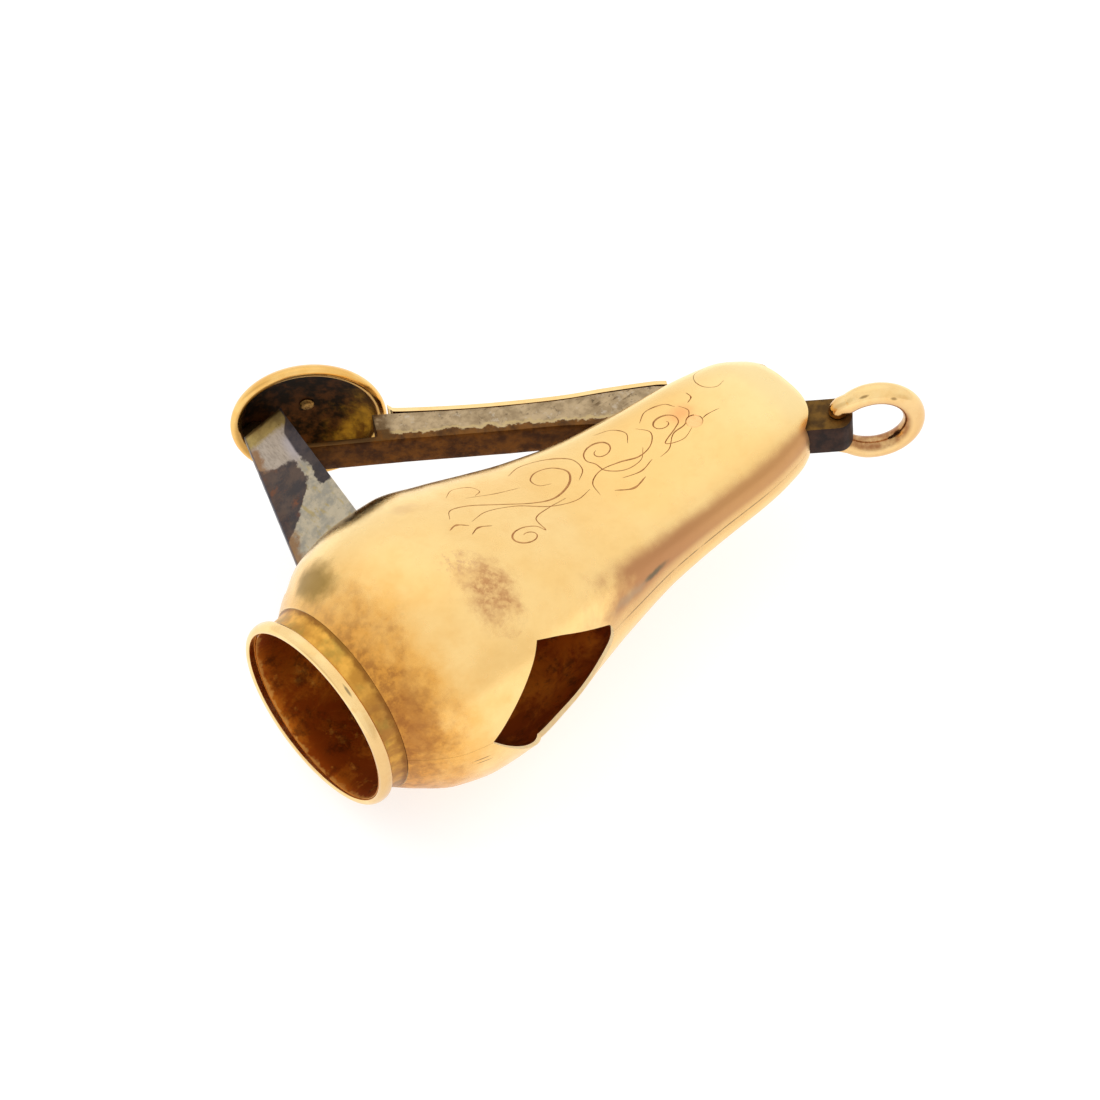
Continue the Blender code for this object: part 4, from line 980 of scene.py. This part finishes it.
def round_bar(centre, radius, low, high, steps):
    mesh = turned([(0.0, high), (radius, high), (radius, low), (0.0, low)], steps, False)
    mesh.transform(Matrix.Translation((centre[0], centre[1], 0.0)))
    return mesh


def build_shell(sign, rings, around):
    obj = temp(case_skin(rings, around), "shell_work")
    wall = obj.modifiers.new("wall", "SOLIDIFY")
    wall.thickness = WALL
    wall.offset = -1.0
    mesh = apply_all(obj)
    half = box_mesh((0.0, -12.0, SEAM_HALF), (42.0, 12.0, 12.0)) if sign > 0 else box_mesh(
        (0.0, -12.0, -12.0), (42.0, 12.0, -SEAM_HALF)
    )
    mesh = cut(mesh, [half], "INTERSECT")
    tools = [
        port_cutter(),
        box_mesh((3.55, 5.5, -3.4), (12.0, 11.0, 3.4)),
        box_mesh((10.5, 3.2, -1.5), (35.4, 11.0, 1.5)),
        box_mesh((37.0, -6.0, -1.55), (41.0, 2.35, 1.55)),
        round_bar(PIVOT, 0.562, -4.0, 4.0, 48),
    ]
    mesh = cut(mesh, tools)
    return mesh


def finish_shell(mesh, engraved):
    """Materials by where a face lies, and the true surface's normals on the outer skin."""
    mesh.update()
    count = len(mesh.polygons)
    centres = np.zeros(count * 3)
    mesh.polygons.foreach_get("center", centres)
    centres = centres.reshape(-1, 3)
    normals = np.zeros(count * 3)
    mesh.polygons.foreach_get("normal", normals)
    normals = normals.reshape(-1, 3)
    true_normals = case_normal(centres)
    facing = (normals * true_normals).sum(1)
    # distance to the outer skin along the normal, to first order
    step = 0.05
    slope = (case_level(centres + true_normals * step) - case_level(centres - true_normals * step)) / (2 * step)
    distance = case_level(centres) / np.maximum(np.abs(slope), 1e-6)
    outer = (np.abs(distance) < 0.03) & (facing > 0.93)
    inner = facing < -0.75
    mouth_end = (centres[:, 0] < 2.5) & (normals[:, 0] < -0.7)
    index = np.full(count, 2)
    index[outer] = 0
    index[inner] = 1
    index[mouth_end] = 1
    # the walls of the joint between the shells
    index[(np.abs(centres[:, 2]) < 0.02) & (np.abs(normals[:, 2]) > 0.9) & ~outer & ~inner] = 0
    if engraved is not None:
        index[engraved & ~outer & ~inner] = 3
    mesh.materials.clear()
    for material in (GOLD_CASE, GOLD_INNER, GOLD_CUT, ENGRAVED):
        mesh.materials.append(material)
    mesh.polygons.foreach_set("material_index", index.astype(np.int32))
    mesh.shade_smooth()
    mesh.set_sharp_from_angle(angle=math.radians(28))
    loops = len(mesh.loops)
    vertex = np.zeros(loops, np.int32)
    mesh.loops.foreach_get("vertex_index", vertex)
    co = np.zeros(len(mesh.vertices) * 3)
    mesh.vertices.foreach_get("co", co)
    co = co.reshape(-1, 3)
    start = np.zeros(count, np.int32)
    total = np.zeros(count, np.int32)
    mesh.polygons.foreach_get("loop_start", start)
    mesh.polygons.foreach_get("loop_total", total)
    owner = np.repeat(np.arange(count), total)
    custom = np.zeros((loops, 3))
    picked = outer[owner]
    custom[picked] = case_normal(co[vertex[picked]])
    rest = ~picked
    corner = np.zeros(loops * 3, np.float32)
    mesh.corner_normals.foreach_get("vector", corner)
    custom[rest] = corner.reshape(-1, 3)[rest]
    mesh.normals_split_custom_set([tuple(n) for n in custom])
    return mesh


def near_engraving(mesh):
    """Faces within reach of an engraved line."""
    from mathutils.kdtree import KDTree

    points = []
    for line, _ in ENGRAVING:
        for p in flowing(line, 12 * len(line)):
            points.append((p.x, p.y, front_height(p.x, p.y)))
    tree = KDTree(len(points))
    for i, p in enumerate(points):
        tree.insert(p, i)
    tree.balance()
    return np.array([tree.find(p.center)[2] < 0.35 for p in mesh.polygons])


front_mesh = build_shell(1, 190, 220)
front_mesh = cut(front_mesh, engraving_tools(), solver="MANIFOLD")
front = put("front_shell_fine", finish_shell(front_mesh, near_engraving(front_mesh)), "case", None, ("front_shell",))
back_mesh = build_shell(-1, 150, 160)
back = put("back_shell_fine", finish_shell(back_mesh, None), "case", None, ("back_shell",))

# ------------------------------------------------------------------------------------------------
# Mouth
# ------------------------------------------------------------------------------------------------

ALONG_X = Matrix.Rotation(math.pi / 2, 4, "Y")


def tube_shape():
    profile = [
        (6.06, 8.0),
        (6.06, 0.84),
        (6.11, 0.80),
        (6.11, 0.52),
        (6.09, 0.48),
        (6.05, 0.48),
        (5.98, 0.80),
        (5.92, 1.25),
        (5.90, 1.9),
        (5.90, 4.0),
        (5.90, 8.0),
    ]
    mesh = turned(profile, 192)
    mesh.transform(ALONG_X)
    return cut(mesh, [box_mesh((4.05, -8.0, -3.4), (9.0, 8.0, 3.4))])


tube = put("mouth_tube_fine", smooth_mesh(tube_shape()), "case", GOLD_INNER, ("mouth_tube",))


def collar_shape():
    profile = [(6.46, 2.445), (6.40, 2.36), (6.335, 2.22), (6.28, 2.04), (6.24, 1.82), (6.22, 1.55), (6.22, 1.2), (6.22, 0.68), (6.125, 0.68), (6.125, 2.445)]
    mesh = turned(profile, 192)
    mesh.transform(ALONG_X)
    return mesh


collar = put("mouth_collar_fine", smooth_mesh(collar_shape(), 30), "case", GOLD_COLLAR, ("mouth_collar",))


def rim_shape():
    """The half-round band, with a few shallow dents from wear."""
    profile = [(6.34, 0.84), (6.44, 0.835), (6.52, 0.81), (6.575, 0.76), (6.608, 0.68), (6.62, 0.58)]
    for k in range(1, 15):
        angle = math.pi / 2 * k / 14
        profile.append((6.62 - 0.30 + 0.30 * math.cos(angle), 0.48 - 0.48 * math.sin(angle)))
    profile += [(6.24, 0.0), (6.19, 0.008), (6.155, 0.03), (6.135, 0.07), (6.13, 0.12), (6.13, 0.60), (6.30, 0.64), (6.30, 0.84)]
    mesh = turned(profile, 224)
    for vertex in mesh.vertices:
        x, y, z = vertex.co
        angle = math.atan2(y, x)
        wave = 0.010 * math.sin(3 * angle + 0.7) + 0.006 * math.sin(7 * angle + 2.0) + 0.004 * math.sin(13 * angle)
        if math.hypot(x, y) > 6.4:
            vertex.co.z += wave * (1.0 if z > 0.5 else 0.4)
    mesh.transform(Matrix.Translation((0.18, 0, 0)) @ Matrix.Rotation(math.radians(2.3), 4, "Z") @ ALONG_X)
    return mesh


rim = put("mouth_rim_fine", smooth_mesh(rim_shape(), 50), "case", GOLD_RIM, ("mouth_rim",))

# ------------------------------------------------------------------------------------------------
# Pivot, washers, spring
# ------------------------------------------------------------------------------------------------


def pin_shape():
    profile = [(0.0, 2.742), (0.22, 2.74), (0.40, 2.73), (0.51, 2.715), (0.55, 2.68), (0.55, -2.68), (0.51, -2.715), (0.40, -2.73), (0.22, -2.74), (0.0, -2.742)]
    mesh = turned(profile, 48, False)
    mesh.transform(Matrix.Translation((PIVOT[0], PIVOT[1], 0.0)))
    return mesh


pin = put("pivot_pin_fine", smooth_mesh(pin_shape(), 40), "case", COPPER, ("pivot_pin",))


def washer_shape(sign):
    low, high = sorted((sign * 1.21, sign * 2.24))
    profile = [(1.40, high), (1.45, high - 0.05), (1.45, low + 0.05), (1.40, low), (0.62, low), (0.585, low + 0.04), (0.585, high - 0.04), (0.62, high)]
    mesh = turned(profile, 64)
    mesh.transform(Matrix.Translation((PIVOT[0], PIVOT[1], 0.0)))
    return mesh


for name, sign in (("pivot_washer_front", 1), ("pivot_washer_back", -1)):
    put(name + "_fine", smooth_mesh(washer_shape(sign), 40), "case", WASHER_GOLD, (name,))

# ------------------------------------------------------------------------------------------------
# Lever pieces, drawn closed
# ------------------------------------------------------------------------------------------------


def bar_outline():
    slope = math.tan(math.radians(-11.5))
    tongue = 0.42

    def inner_at(x):
        return 5.82 + (x - 13.6) * slope * 0.82

    outer = [(12.20, 8.38), (13.35, 8.14), (17.2, 7.30), (20.3, 6.70), (24.2, 6.12), (27.0, 5.92), (30.0, 5.62), (31.6, 5.20), (32.9, 4.35), (33.9, 3.25), (35.2, 2.55)]
    tilt = math.radians(-11.0)
    along = Vector((math.cos(tilt), math.sin(tilt)))
    across = Vector((-along.y, along.x))
    hole = Vector((40.8, 0.0))
    half = 1.28
    end = []
    for k in range(13):
        angle = math.pi / 2 - math.pi * k / 12
        reach = 0.95 * math.cos(angle) if k not in (0, 12) else 0.0
        end.append(tuple(hole + along * reach + across * half * math.sin(angle)))
    tab_top = tuple(hole + across * half - along * 4.6)
    tab_low = tuple(hole - across * half - along * 5.4)
    inner = [(33.9, -0.95), (32.7, -1.32), (31.6, -1.42), (30.5, -1.15), (29.7, -0.35), (29.2, 0.9), (28.4, 2.35), (26.4, 3.38), (23.6, 4.02), (19.8, 4.67), (16.7, 5.24), (13.6, inner_at(13.6)), (7.35, inner_at(7.35)), (7.35, inner_at(7.35) + tongue), (12.12, inner_at(12.12) + tongue), (12.18, inner_at(12.18) + tongue + 0.25)]
    return outer + [tab_top] + end + [tab_low] + inner


def worn(mesh, amount, scale, seed, edge_only=False):
    """Moves vertices a little with a smooth pseudo-random field, so hand-filed faces aren't perfectly flat."""
    for vertex in mesh.vertices:
        x, y, z = vertex.co * scale
        n = (
            math.sin(x * 2.1 + seed) * math.cos(y * 1.7 - seed * 0.7)
            + 0.6 * math.sin(y * 3.3 + z * 2.9 + seed * 1.3)
            + 0.4 * math.sin(x * 5.7 - z * 4.1 + seed * 2.1)
        ) / 2.0
        vertex.co += vertex.normal * (n * amount)
    return mesh


def refine(mesh, length):
    """Splits long edges so that small waves show on flat faces."""
    work = bmesh.new()
    work.from_mesh(mesh)
    bmesh.ops.triangulate(work, faces=work.faces)
    for _ in range(6):
        long_edges = [e for e in work.edges if e.calc_length() > length]
        if not long_edges:
            break
        bmesh.ops.subdivide_edges(work, edges=long_edges, cuts=1, use_grid_fill=False)
        bmesh.ops.triangulate(work, faces=[f for f in work.faces if len(f.verts) > 3])
    work.to_mesh(mesh)
    work.free()
    return mesh


def bar_shape():
    mesh = prism(bar_outline(), -1.15, 1.15)
    mesh = cut(mesh, [round_bar(PIVOT, 0.60, -3, 3, 48), round_bar((40.8, 0.0), 0.545, -3, 3, 48)])
    mesh = bevelled(mesh, 0.07, 2, 40)
    mesh = refine(mesh, 0.8)
    mesh.update()
    return worn(mesh, 0.010, 1.0, 3.0)


bar = put("lever_bar_fine", smooth_mesh(bar_shape(), 32), "lever", LEVER_STEEL, ("lever_bar",), lever=True)


def cover_shape():
    under = [(13.30, 8.60), (13.50, 8.34), (13.95, 8.10), (17.2, 7.32), (20.3, 6.72), (24.2, 6.14), (27.0, 5.94), (30.0, 5.64), (31.0, 5.42)]
    line = flowing(under, 60)
    low = [(p.x, p.y + 0.03) for p in line]
    high = [(p.x + 0.02, p.y + 0.35) for p in line]
    mesh = prism(high + low[::-1], -1.17, 1.17)
    return bevelled(mesh, 0.06, 3, 40)


cover = put("cover_strip_fine", smooth_mesh(cover_shape(), 40), "lever", GOLD_COVER, ("cover_strip",), lever=True)

THUMB_FRAME = Matrix.Translation((THUMB_CENTRE[0], THUMB_CENTRE[1], 0.0)) @ Matrix((
    (math.cos(THUMB_TILT), 0.0, -math.sin(THUMB_TILT), 0.0),
    (math.sin(THUMB_TILT), 0.0, math.cos(THUMB_TILT), 0.0),
    (0.0, -1.0, 0.0, 0.0),
    (0.0, 0.0, 0.0, 1.0),
))
THUMB_R, THUMB_INNER_R, THUMB_DEPTH, THUMB_WALL = 5.05, 4.38, 1.5, 0.32


def dome_arc(radius, depth, count):
    return [(radius * math.sin(math.pi / 2 * k / count), depth * math.cos(math.pi / 2 * k / count)) for k in range(count + 1)]


def thumb_shape():
    outer = dome_arc(THUMB_R, THUMB_DEPTH + THUMB_WALL, 28)
    bead = (THUMB_R - THUMB_INNER_R) / 2
    edge = []
    for k in range(1, 14):
        angle = -math.pi * k / 14
        edge.append((THUMB_R - bead + bead * math.cos(angle), bead * math.sin(angle) * 0.9))
    inner = dome_arc(THUMB_INNER_R, THUMB_DEPTH, 28)[::-1]
    mesh = turned(outer + edge + inner, 176, False)
    mesh = cut(mesh, [round_bar((0.0, 0.0), 0.36, 0.5, 4.0, 32)])
    mesh.transform(THUMB_FRAME)
    notch = prism([(12.50, 7.0), (16.0, 7.0), (16.0, 9.2), (13.25, 9.2), (12.60, 8.5)], -1.18, 1.18)
    return cut(mesh, [notch])


thumb = put("thumb_piece_fine", smooth_mesh(thumb_shape(), 35), "lever", GOLD_THUMB, ("thumb_piece",), lever=True)


def thumb_rivet_shape():
    top = THUMB_DEPTH + THUMB_WALL
    profile = [(0.0, top + 0.02), (0.2, top + 0.015), (0.31, top - 0.02), (0.32, THUMB_DEPTH - 0.03), (0.47, THUMB_DEPTH - 0.04), (0.47, THUMB_DEPTH - 0.09), (0.40, THUMB_DEPTH - 0.16), (0.28, THUMB_DEPTH - 0.215), (0.14, THUMB_DEPTH - 0.24), (0.0, THUMB_DEPTH - 0.25)]
    mesh = turned(profile, 40, False)
    mesh.transform(THUMB_FRAME)
    return mesh


put("thumb_rivet_fine", smooth_mesh(thumb_rivet_shape(), 40), "lever", plain_metal("rivet_gold", (0.52, 0.30, 0.09), (0.10, 0.045, 0.012), 0.48, 170.0, 3.5), ("thumb_rivet",), lever=True)


def blade_section(depth, half_width, thick):
    nose = 0.22
    rise = (half_width - nose) / depth
    shift = thick / math.cos(math.atan(rise))
    inner_nose = max((shift - nose) / rise, 0.06) if shift > nose else 0.06
    outer = [(depth, -half_width), (0.0, -nose), (0.0, nose), (depth, half_width)]
    inner_half = max(half_width - shift, 0.05)
    deep = max(inner_nose + 0.03 / rise, thick * 0.9)
    inner_z = nose + rise * deep - shift
    return outer + [(depth, inner_half), (deep, max(inner_z, 0.03)), (deep, -max(inner_z, 0.03)), (depth, -inner_half)]


def blade_shape():
    top, tip = RIDGE_TOP.copy(), RIDGE_TIP.copy()
    along = (tip - top).normalized()
    across = Vector((-along.y, along.x))
    if across.x < 0:
        across = -across
    top = top - along * 2.2
    length = (tip - top).length
    verts, faces = [], []
    shares = [k / 12 * (1 - 0.9 / length) for k in range(13)] + [1.0]
    for row, share in enumerate(shares):
        s = share * length
        f = max((s - 2.2) / (length - 2.2), 0.0)
        depth = 2.6 + (5.35 - 2.6) * f
        half = 1.95 + (3.05 - 1.95) * f
        for u, z in blade_section(depth, half, 0.1 if share == 1.0 else 0.5):
            point = top + along * s + across * u
            verts.append((point.x, point.y, z))
    for i in range(len(shares) - 1):
        for k in range(8):
            j = (k + 1) % 8
            faces.append((i * 8 + k, i * 8 + j, (i + 1) * 8 + j, (i + 1) * 8 + k))
    for base in (0, (len(shares) - 1) * 8):
        ring = [base + k for k in range(8)]
        faces += [(ring[0], ring[1], ring[6], ring[7]), (ring[1], ring[2], ring[5], ring[6]), (ring[2], ring[3], ring[4], ring[5])]
    mesh = mesh_from(verts, faces, "blade")
    root = turned([(0.0, 8.0), (9.0, 8.0), (9.0, -0.35), (THUMB_INNER_R - 0.05, -0.35)] + dome_arc(THUMB_INNER_R - 0.05, THUMB_DEPTH - 0.04, 20)[::-1], 96, False)
    root.transform(THUMB_FRAME)
    low, high = Vector((4.07, 9.65)), Vector((6.74, 9.91))
    step = (high - low).normalized()
    up = Vector((-step.y, step.x))
    wing = prism([tuple(low - step * 2), tuple(high + step * 2), tuple(high + step * 2 + up * 4), tuple(low - step * 2 + up * 4)], -0.30, 3.2)
    mesh = cut(mesh, [root, wing])
    mesh = bevelled(mesh, 0.05, 2, 30)
    mesh = refine(mesh, 0.55)
    mesh.update()
    return worn(mesh, 0.012, 1.3, 8.0)


blade = put("cutting_blade_fine", smooth_mesh(blade_shape(), 30), "lever", BLADE_STEEL, ("cutting_blade",), lever=True)

# ------------------------------------------------------------------------------------------------
# Bow
# ------------------------------------------------------------------------------------------------


def tube_along(path, radii, around):
    """A round bar along a path, with rounded ends."""
    verts, faces = [], []
    count = len(path)
    up = Vector((0.0, 1.0, 0.0))
    for i, (point, radius) in enumerate(zip(path, radii)):
        before, after = path[max(i - 1, 0)], path[min(i + 1, count - 1)]
        along = (after - before).normalized()
        side = along.cross(up).normalized()
        lift = side.cross(along).normalized()
        for k in range(around):
            angle = 2 * math.pi * k / around
            verts.append(point + side * (radius * math.cos(angle)) + lift * (radius * math.sin(angle)))
    for i in range(count - 1):
        for k in range(around):
            j = (k + 1) % around
            faces.append((i * around + k, i * around + j, (i + 1) * around + j, (i + 1) * around + k))
    faces.append(tuple(range(around)))
    faces.append(tuple((count - 1) * around + k for k in range(around)))
    return mesh_from(verts, faces, "bow")


def bow_shape():
    mean, wire, reach, pin_r = 2.545, 0.705, 2.35, 0.5
    points = [(0.0, 0.35, pin_r - 0.06), (0.0, 0.41, pin_r), (0.0, 0.75, pin_r), (0.0, 1.17, pin_r)]
    points += [(0.0, 1.195, 0.55), (0.0, 1.25, 0.60), (0.01, 1.36, 0.63), (0.06, 1.56, 0.62), (0.20, 1.74, 0.63)]
    head = list(points)
    start = math.asin(1.98 / mean)
    count = 90
    for k in range(count + 1):
        angle = math.pi - start - (math.pi - start) * 2 * k / count
        ends = min(k, count - k)
        points.append((reach + mean * math.cos(angle), mean * math.sin(angle), min(wire, 0.65 + 0.006 * ends)))
    points += [(u, -z, r) for u, z, r in head[::-1]]
    turn = Matrix.Translation(TAB) @ Matrix.Rotation(math.radians(-32.6), 4, "Z")
    path = [turn @ Vector((u, 0.0, z)) for u, z, _ in points]
    return path, [r for _, _, r in points]


bow_path, bow_radii = bow_shape()


def bow_mesh():
    """The ring is built flat in its own plane, then turned to hang from the tab."""
    turn = Matrix.Translation(TAB) @ Matrix.Rotation(math.radians(-32.6), 4, "Z")
    back_turn = turn.inverted()
    mesh = tube_along([back_turn @ p for p in bow_path], bow_radii, 40)
    mesh.transform(turn)
    return mesh


bow = put("bow_fine", smooth_mesh(bow_mesh(), 45), "bow", GOLD_BOW, ("bow",))

# ------------------------------------------------------------------------------------------------
# Return spring: riveted to the back shell at one end, carried by the bar at the other
# ------------------------------------------------------------------------------------------------


def spring_line():
    line = [(29.6, -4.72), (27.5, -4.85), (25.2, -5.02), (22.9, -5.28)]
    fold_centre, fold_r = (22.6, -4.28), 1.02
    for k in range(1, 16):
        angle = math.radians(-97 - k * 170 / 16)
        line.append((fold_centre[0] + fold_r * math.cos(angle), fold_centre[1] + fold_r * math.sin(angle)))
    start, end = (22.7, -3.24), (28.3, 4.65)
    for k in range(16):
        t = k / 15
        bend = 0.9 * math.sin(math.pi * t)
        line.append((start[0] + (end[0] - start[0]) * t + bend * 0.816, start[1] + (end[1] - start[1]) * t - bend * 0.578))
    return line


def spring_shape():
    centre = [Vector(p) for p in spring_line()]
    left, right = [], []
    for i, point in enumerate(centre):
        along = (centre[min(i + 1, len(centre) - 1)] - centre[max(i - 1, 0)]).normalized()
        across = Vector((-along.y, along.x)) * 0.14
        left.append(tuple(point + across))
        right.append(tuple(point - across))
    mesh = prism(left + right[::-1], -1.20, 0.30)
    hole = turned([(0.0, 1.2), (0.42, 1.2), (0.42, -1.2), (0.0, -1.2)], 32, False)
    hole.transform(Matrix.Translation((27.6, -4.85, -0.45)) @ Matrix.Rotation(math.pi / 2, 4, "X"))
    mesh = cut(mesh, [hole])
    return bevelled(mesh, 0.03, 2, 50)


spring = put("return_spring_fine", smooth_mesh(spring_shape(), 35), None, SPRING_STEEL, ("return_spring",))
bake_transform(spring)


def spring_rivet_shape():
    profile = [(0.0, 0.62), (0.16, 0.615), (0.30, 0.60), (0.44, 0.555), (0.54, 0.49), (0.62, 0.40), (0.66, 0.30), (0.66, 0.22), (0.36, 0.22), (0.36, -0.16), (0.0, -0.16)]
    mesh = turned(profile, 40, False)
    mesh.transform(Matrix.Translation((27.6, -4.88, -0.45)) @ Matrix.Rotation(-math.pi / 2, 4, "X"))
    return mesh


put("spring_rivet_fine", smooth_mesh(spring_rivet_shape(), 40), "case", COPPER, ("spring_rivet",))

# ------------------------------------------------------------------------------------------------
# Floor, light, camera
# ------------------------------------------------------------------------------------------------


def floor_material():
    material = bpy.data.materials.new("floor")
    material.use_nodes = True
    nodes, links = material.node_tree.nodes, material.node_tree.links
    shader = nodes["Principled BSDF"]
    shader.inputs["Base Color"].default_value = (0.45, 0.45, 0.45, 1.0)
    shader.inputs["Roughness"].default_value = 0.9
    shader.inputs["Specular IOR Level"].default_value = 0.0
    shader.inputs["Emission Color"].default_value = (1.0, 1.0, 1.0, 1.0)
    shader.inputs["Emission Strength"].default_value = 0.68
    return material


floor = bpy.data.objects.new("floor", mesh_from([(-0.8, -0.8, 0), (0.8, -0.8, 0), (0.8, 0.8, 0), (-0.8, 0.8, 0)], [(0, 1, 2, 3)], "floor"))
scene.collection.objects.link(floor)
floor.location = (0.0, 0.0, -0.00004)
floor.data.materials.append(floor_material())

world = bpy.data.worlds.new("studio")
scene.world = world
world.use_nodes = True
nodes, links = world.node_tree.nodes, world.node_tree.links
background = nodes["Background"]
where = nodes.new("ShaderNodeTexCoord")


def lobe(direction, inner, outer):
    """1 within inner degrees of a direction, 0 beyond outer degrees."""
    dot = nodes.new("ShaderNodeVectorMath")
    dot.operation = "DOT_PRODUCT"
    links.new(where.outputs["Generated"], dot.inputs[0])
    dot.inputs[1].default_value = tuple(Vector(direction).normalized())
    ramp = nodes.new("ShaderNodeMapRange")
    ramp.interpolation_type = "SMOOTHSTEP"
    links.new(dot.outputs["Value"], ramp.inputs["Value"])
    ramp.inputs["From Min"].default_value = math.cos(math.radians(outer))
    ramp.inputs["From Max"].default_value = math.cos(math.radians(inner))
    return ramp.outputs[0]


def tint(base, amount, colour, strength):
    node = nodes.new("ShaderNodeMix")
    node.data_type = "RGBA"
    scale = nodes.new("ShaderNodeMath")
    scale.operation = "MULTIPLY"
    links.new(amount, scale.inputs[0])
    scale.inputs[1].default_value = strength
    links.new(scale.outputs[0], node.inputs[0])
    if isinstance(base, tuple):
        node.inputs[6].default_value = (*base, 1.0)
    else:
        links.new(base, node.inputs[6])
    node.inputs[7].default_value = (*colour, 1.0)
    return node.outputs[2]


sky = tint((1.0, 1.0, 1.0), lobe((0.34, -0.90, 0.10), 4, 34), (0.90, 0.86, 0.80), 1.0)
sky = tint(sky, lobe((0.25, 0.45, 0.85), 5, 40), (1.12, 1.12, 1.12), 1.0)
sky = tint(sky, lobe((-0.9, 0.2, 0.35), 5, 30), (0.80, 0.78, 0.74), 1.0)
links.new(sky, background.inputs["Color"])
background.inputs["Strength"].default_value = 1.0


def area(name, location, target, size, power):
    light = bpy.data.lights.new(name, "AREA")
    light.shape = "DISK"
    light.size = size
    light.energy = power
    obj = bpy.data.objects.new(name, light)
    scene.collection.objects.link(obj)
    obj.location = location
    obj.rotation_mode = "QUATERNION"
    obj.rotation_quaternion = (Vector(target) - Vector(location)).to_track_quat("-Z", "Y")
    return obj


key = area("key", (-0.10, 0.16, 0.30), (0.0, 0.0, 0.0), 0.30, 0.12)
# the studio's white surroundings make every reflection on the metal
key.visible_glossy = False

# camera at the fitted view: azimuth, elevation, roll and distance about a point on the case's axis
azimuth, elevation, roll = (math.radians(v) for v in (-35.179, 50.256, -5.581))
look_back = Vector((math.sin(azimuth) * math.cos(elevation), -math.cos(azimuth) * math.cos(elevation), math.sin(elevation)))
right = Vector((math.cos(azimuth), math.sin(azimuth), 0.0))
above = look_back.cross(right)
side = right * math.cos(roll) + above * math.sin(roll)
lift = above * math.cos(roll) - right * math.sin(roll)
aim = Vector((19.0, 0.0, 0.0)) + SHIFT
camera_data = bpy.data.cameras.new("camera")
camera_data.sensor_width = 36.0
camera_data.lens = 5108.16 / 1100 * 36.0
camera_data.clip_start, camera_data.clip_end = 0.01, 5.0
camera = bpy.data.objects.new("camera", camera_data)
scene.collection.objects.link(camera)
position = (aim + look_back * 320.0 + side * 0.0345 + lift * 0.489) * MM
matrix = Matrix((
    (side.x, lift.x, look_back.x, position.x),
    (side.y, lift.y, look_back.y, position.y),
    (side.z, lift.z, look_back.z, position.z),
    (0.0, 0.0, 0.0, 1.0),
))
camera.matrix_world = matrix
scene.camera = camera
scene.view_settings.view_transform = "Standard"
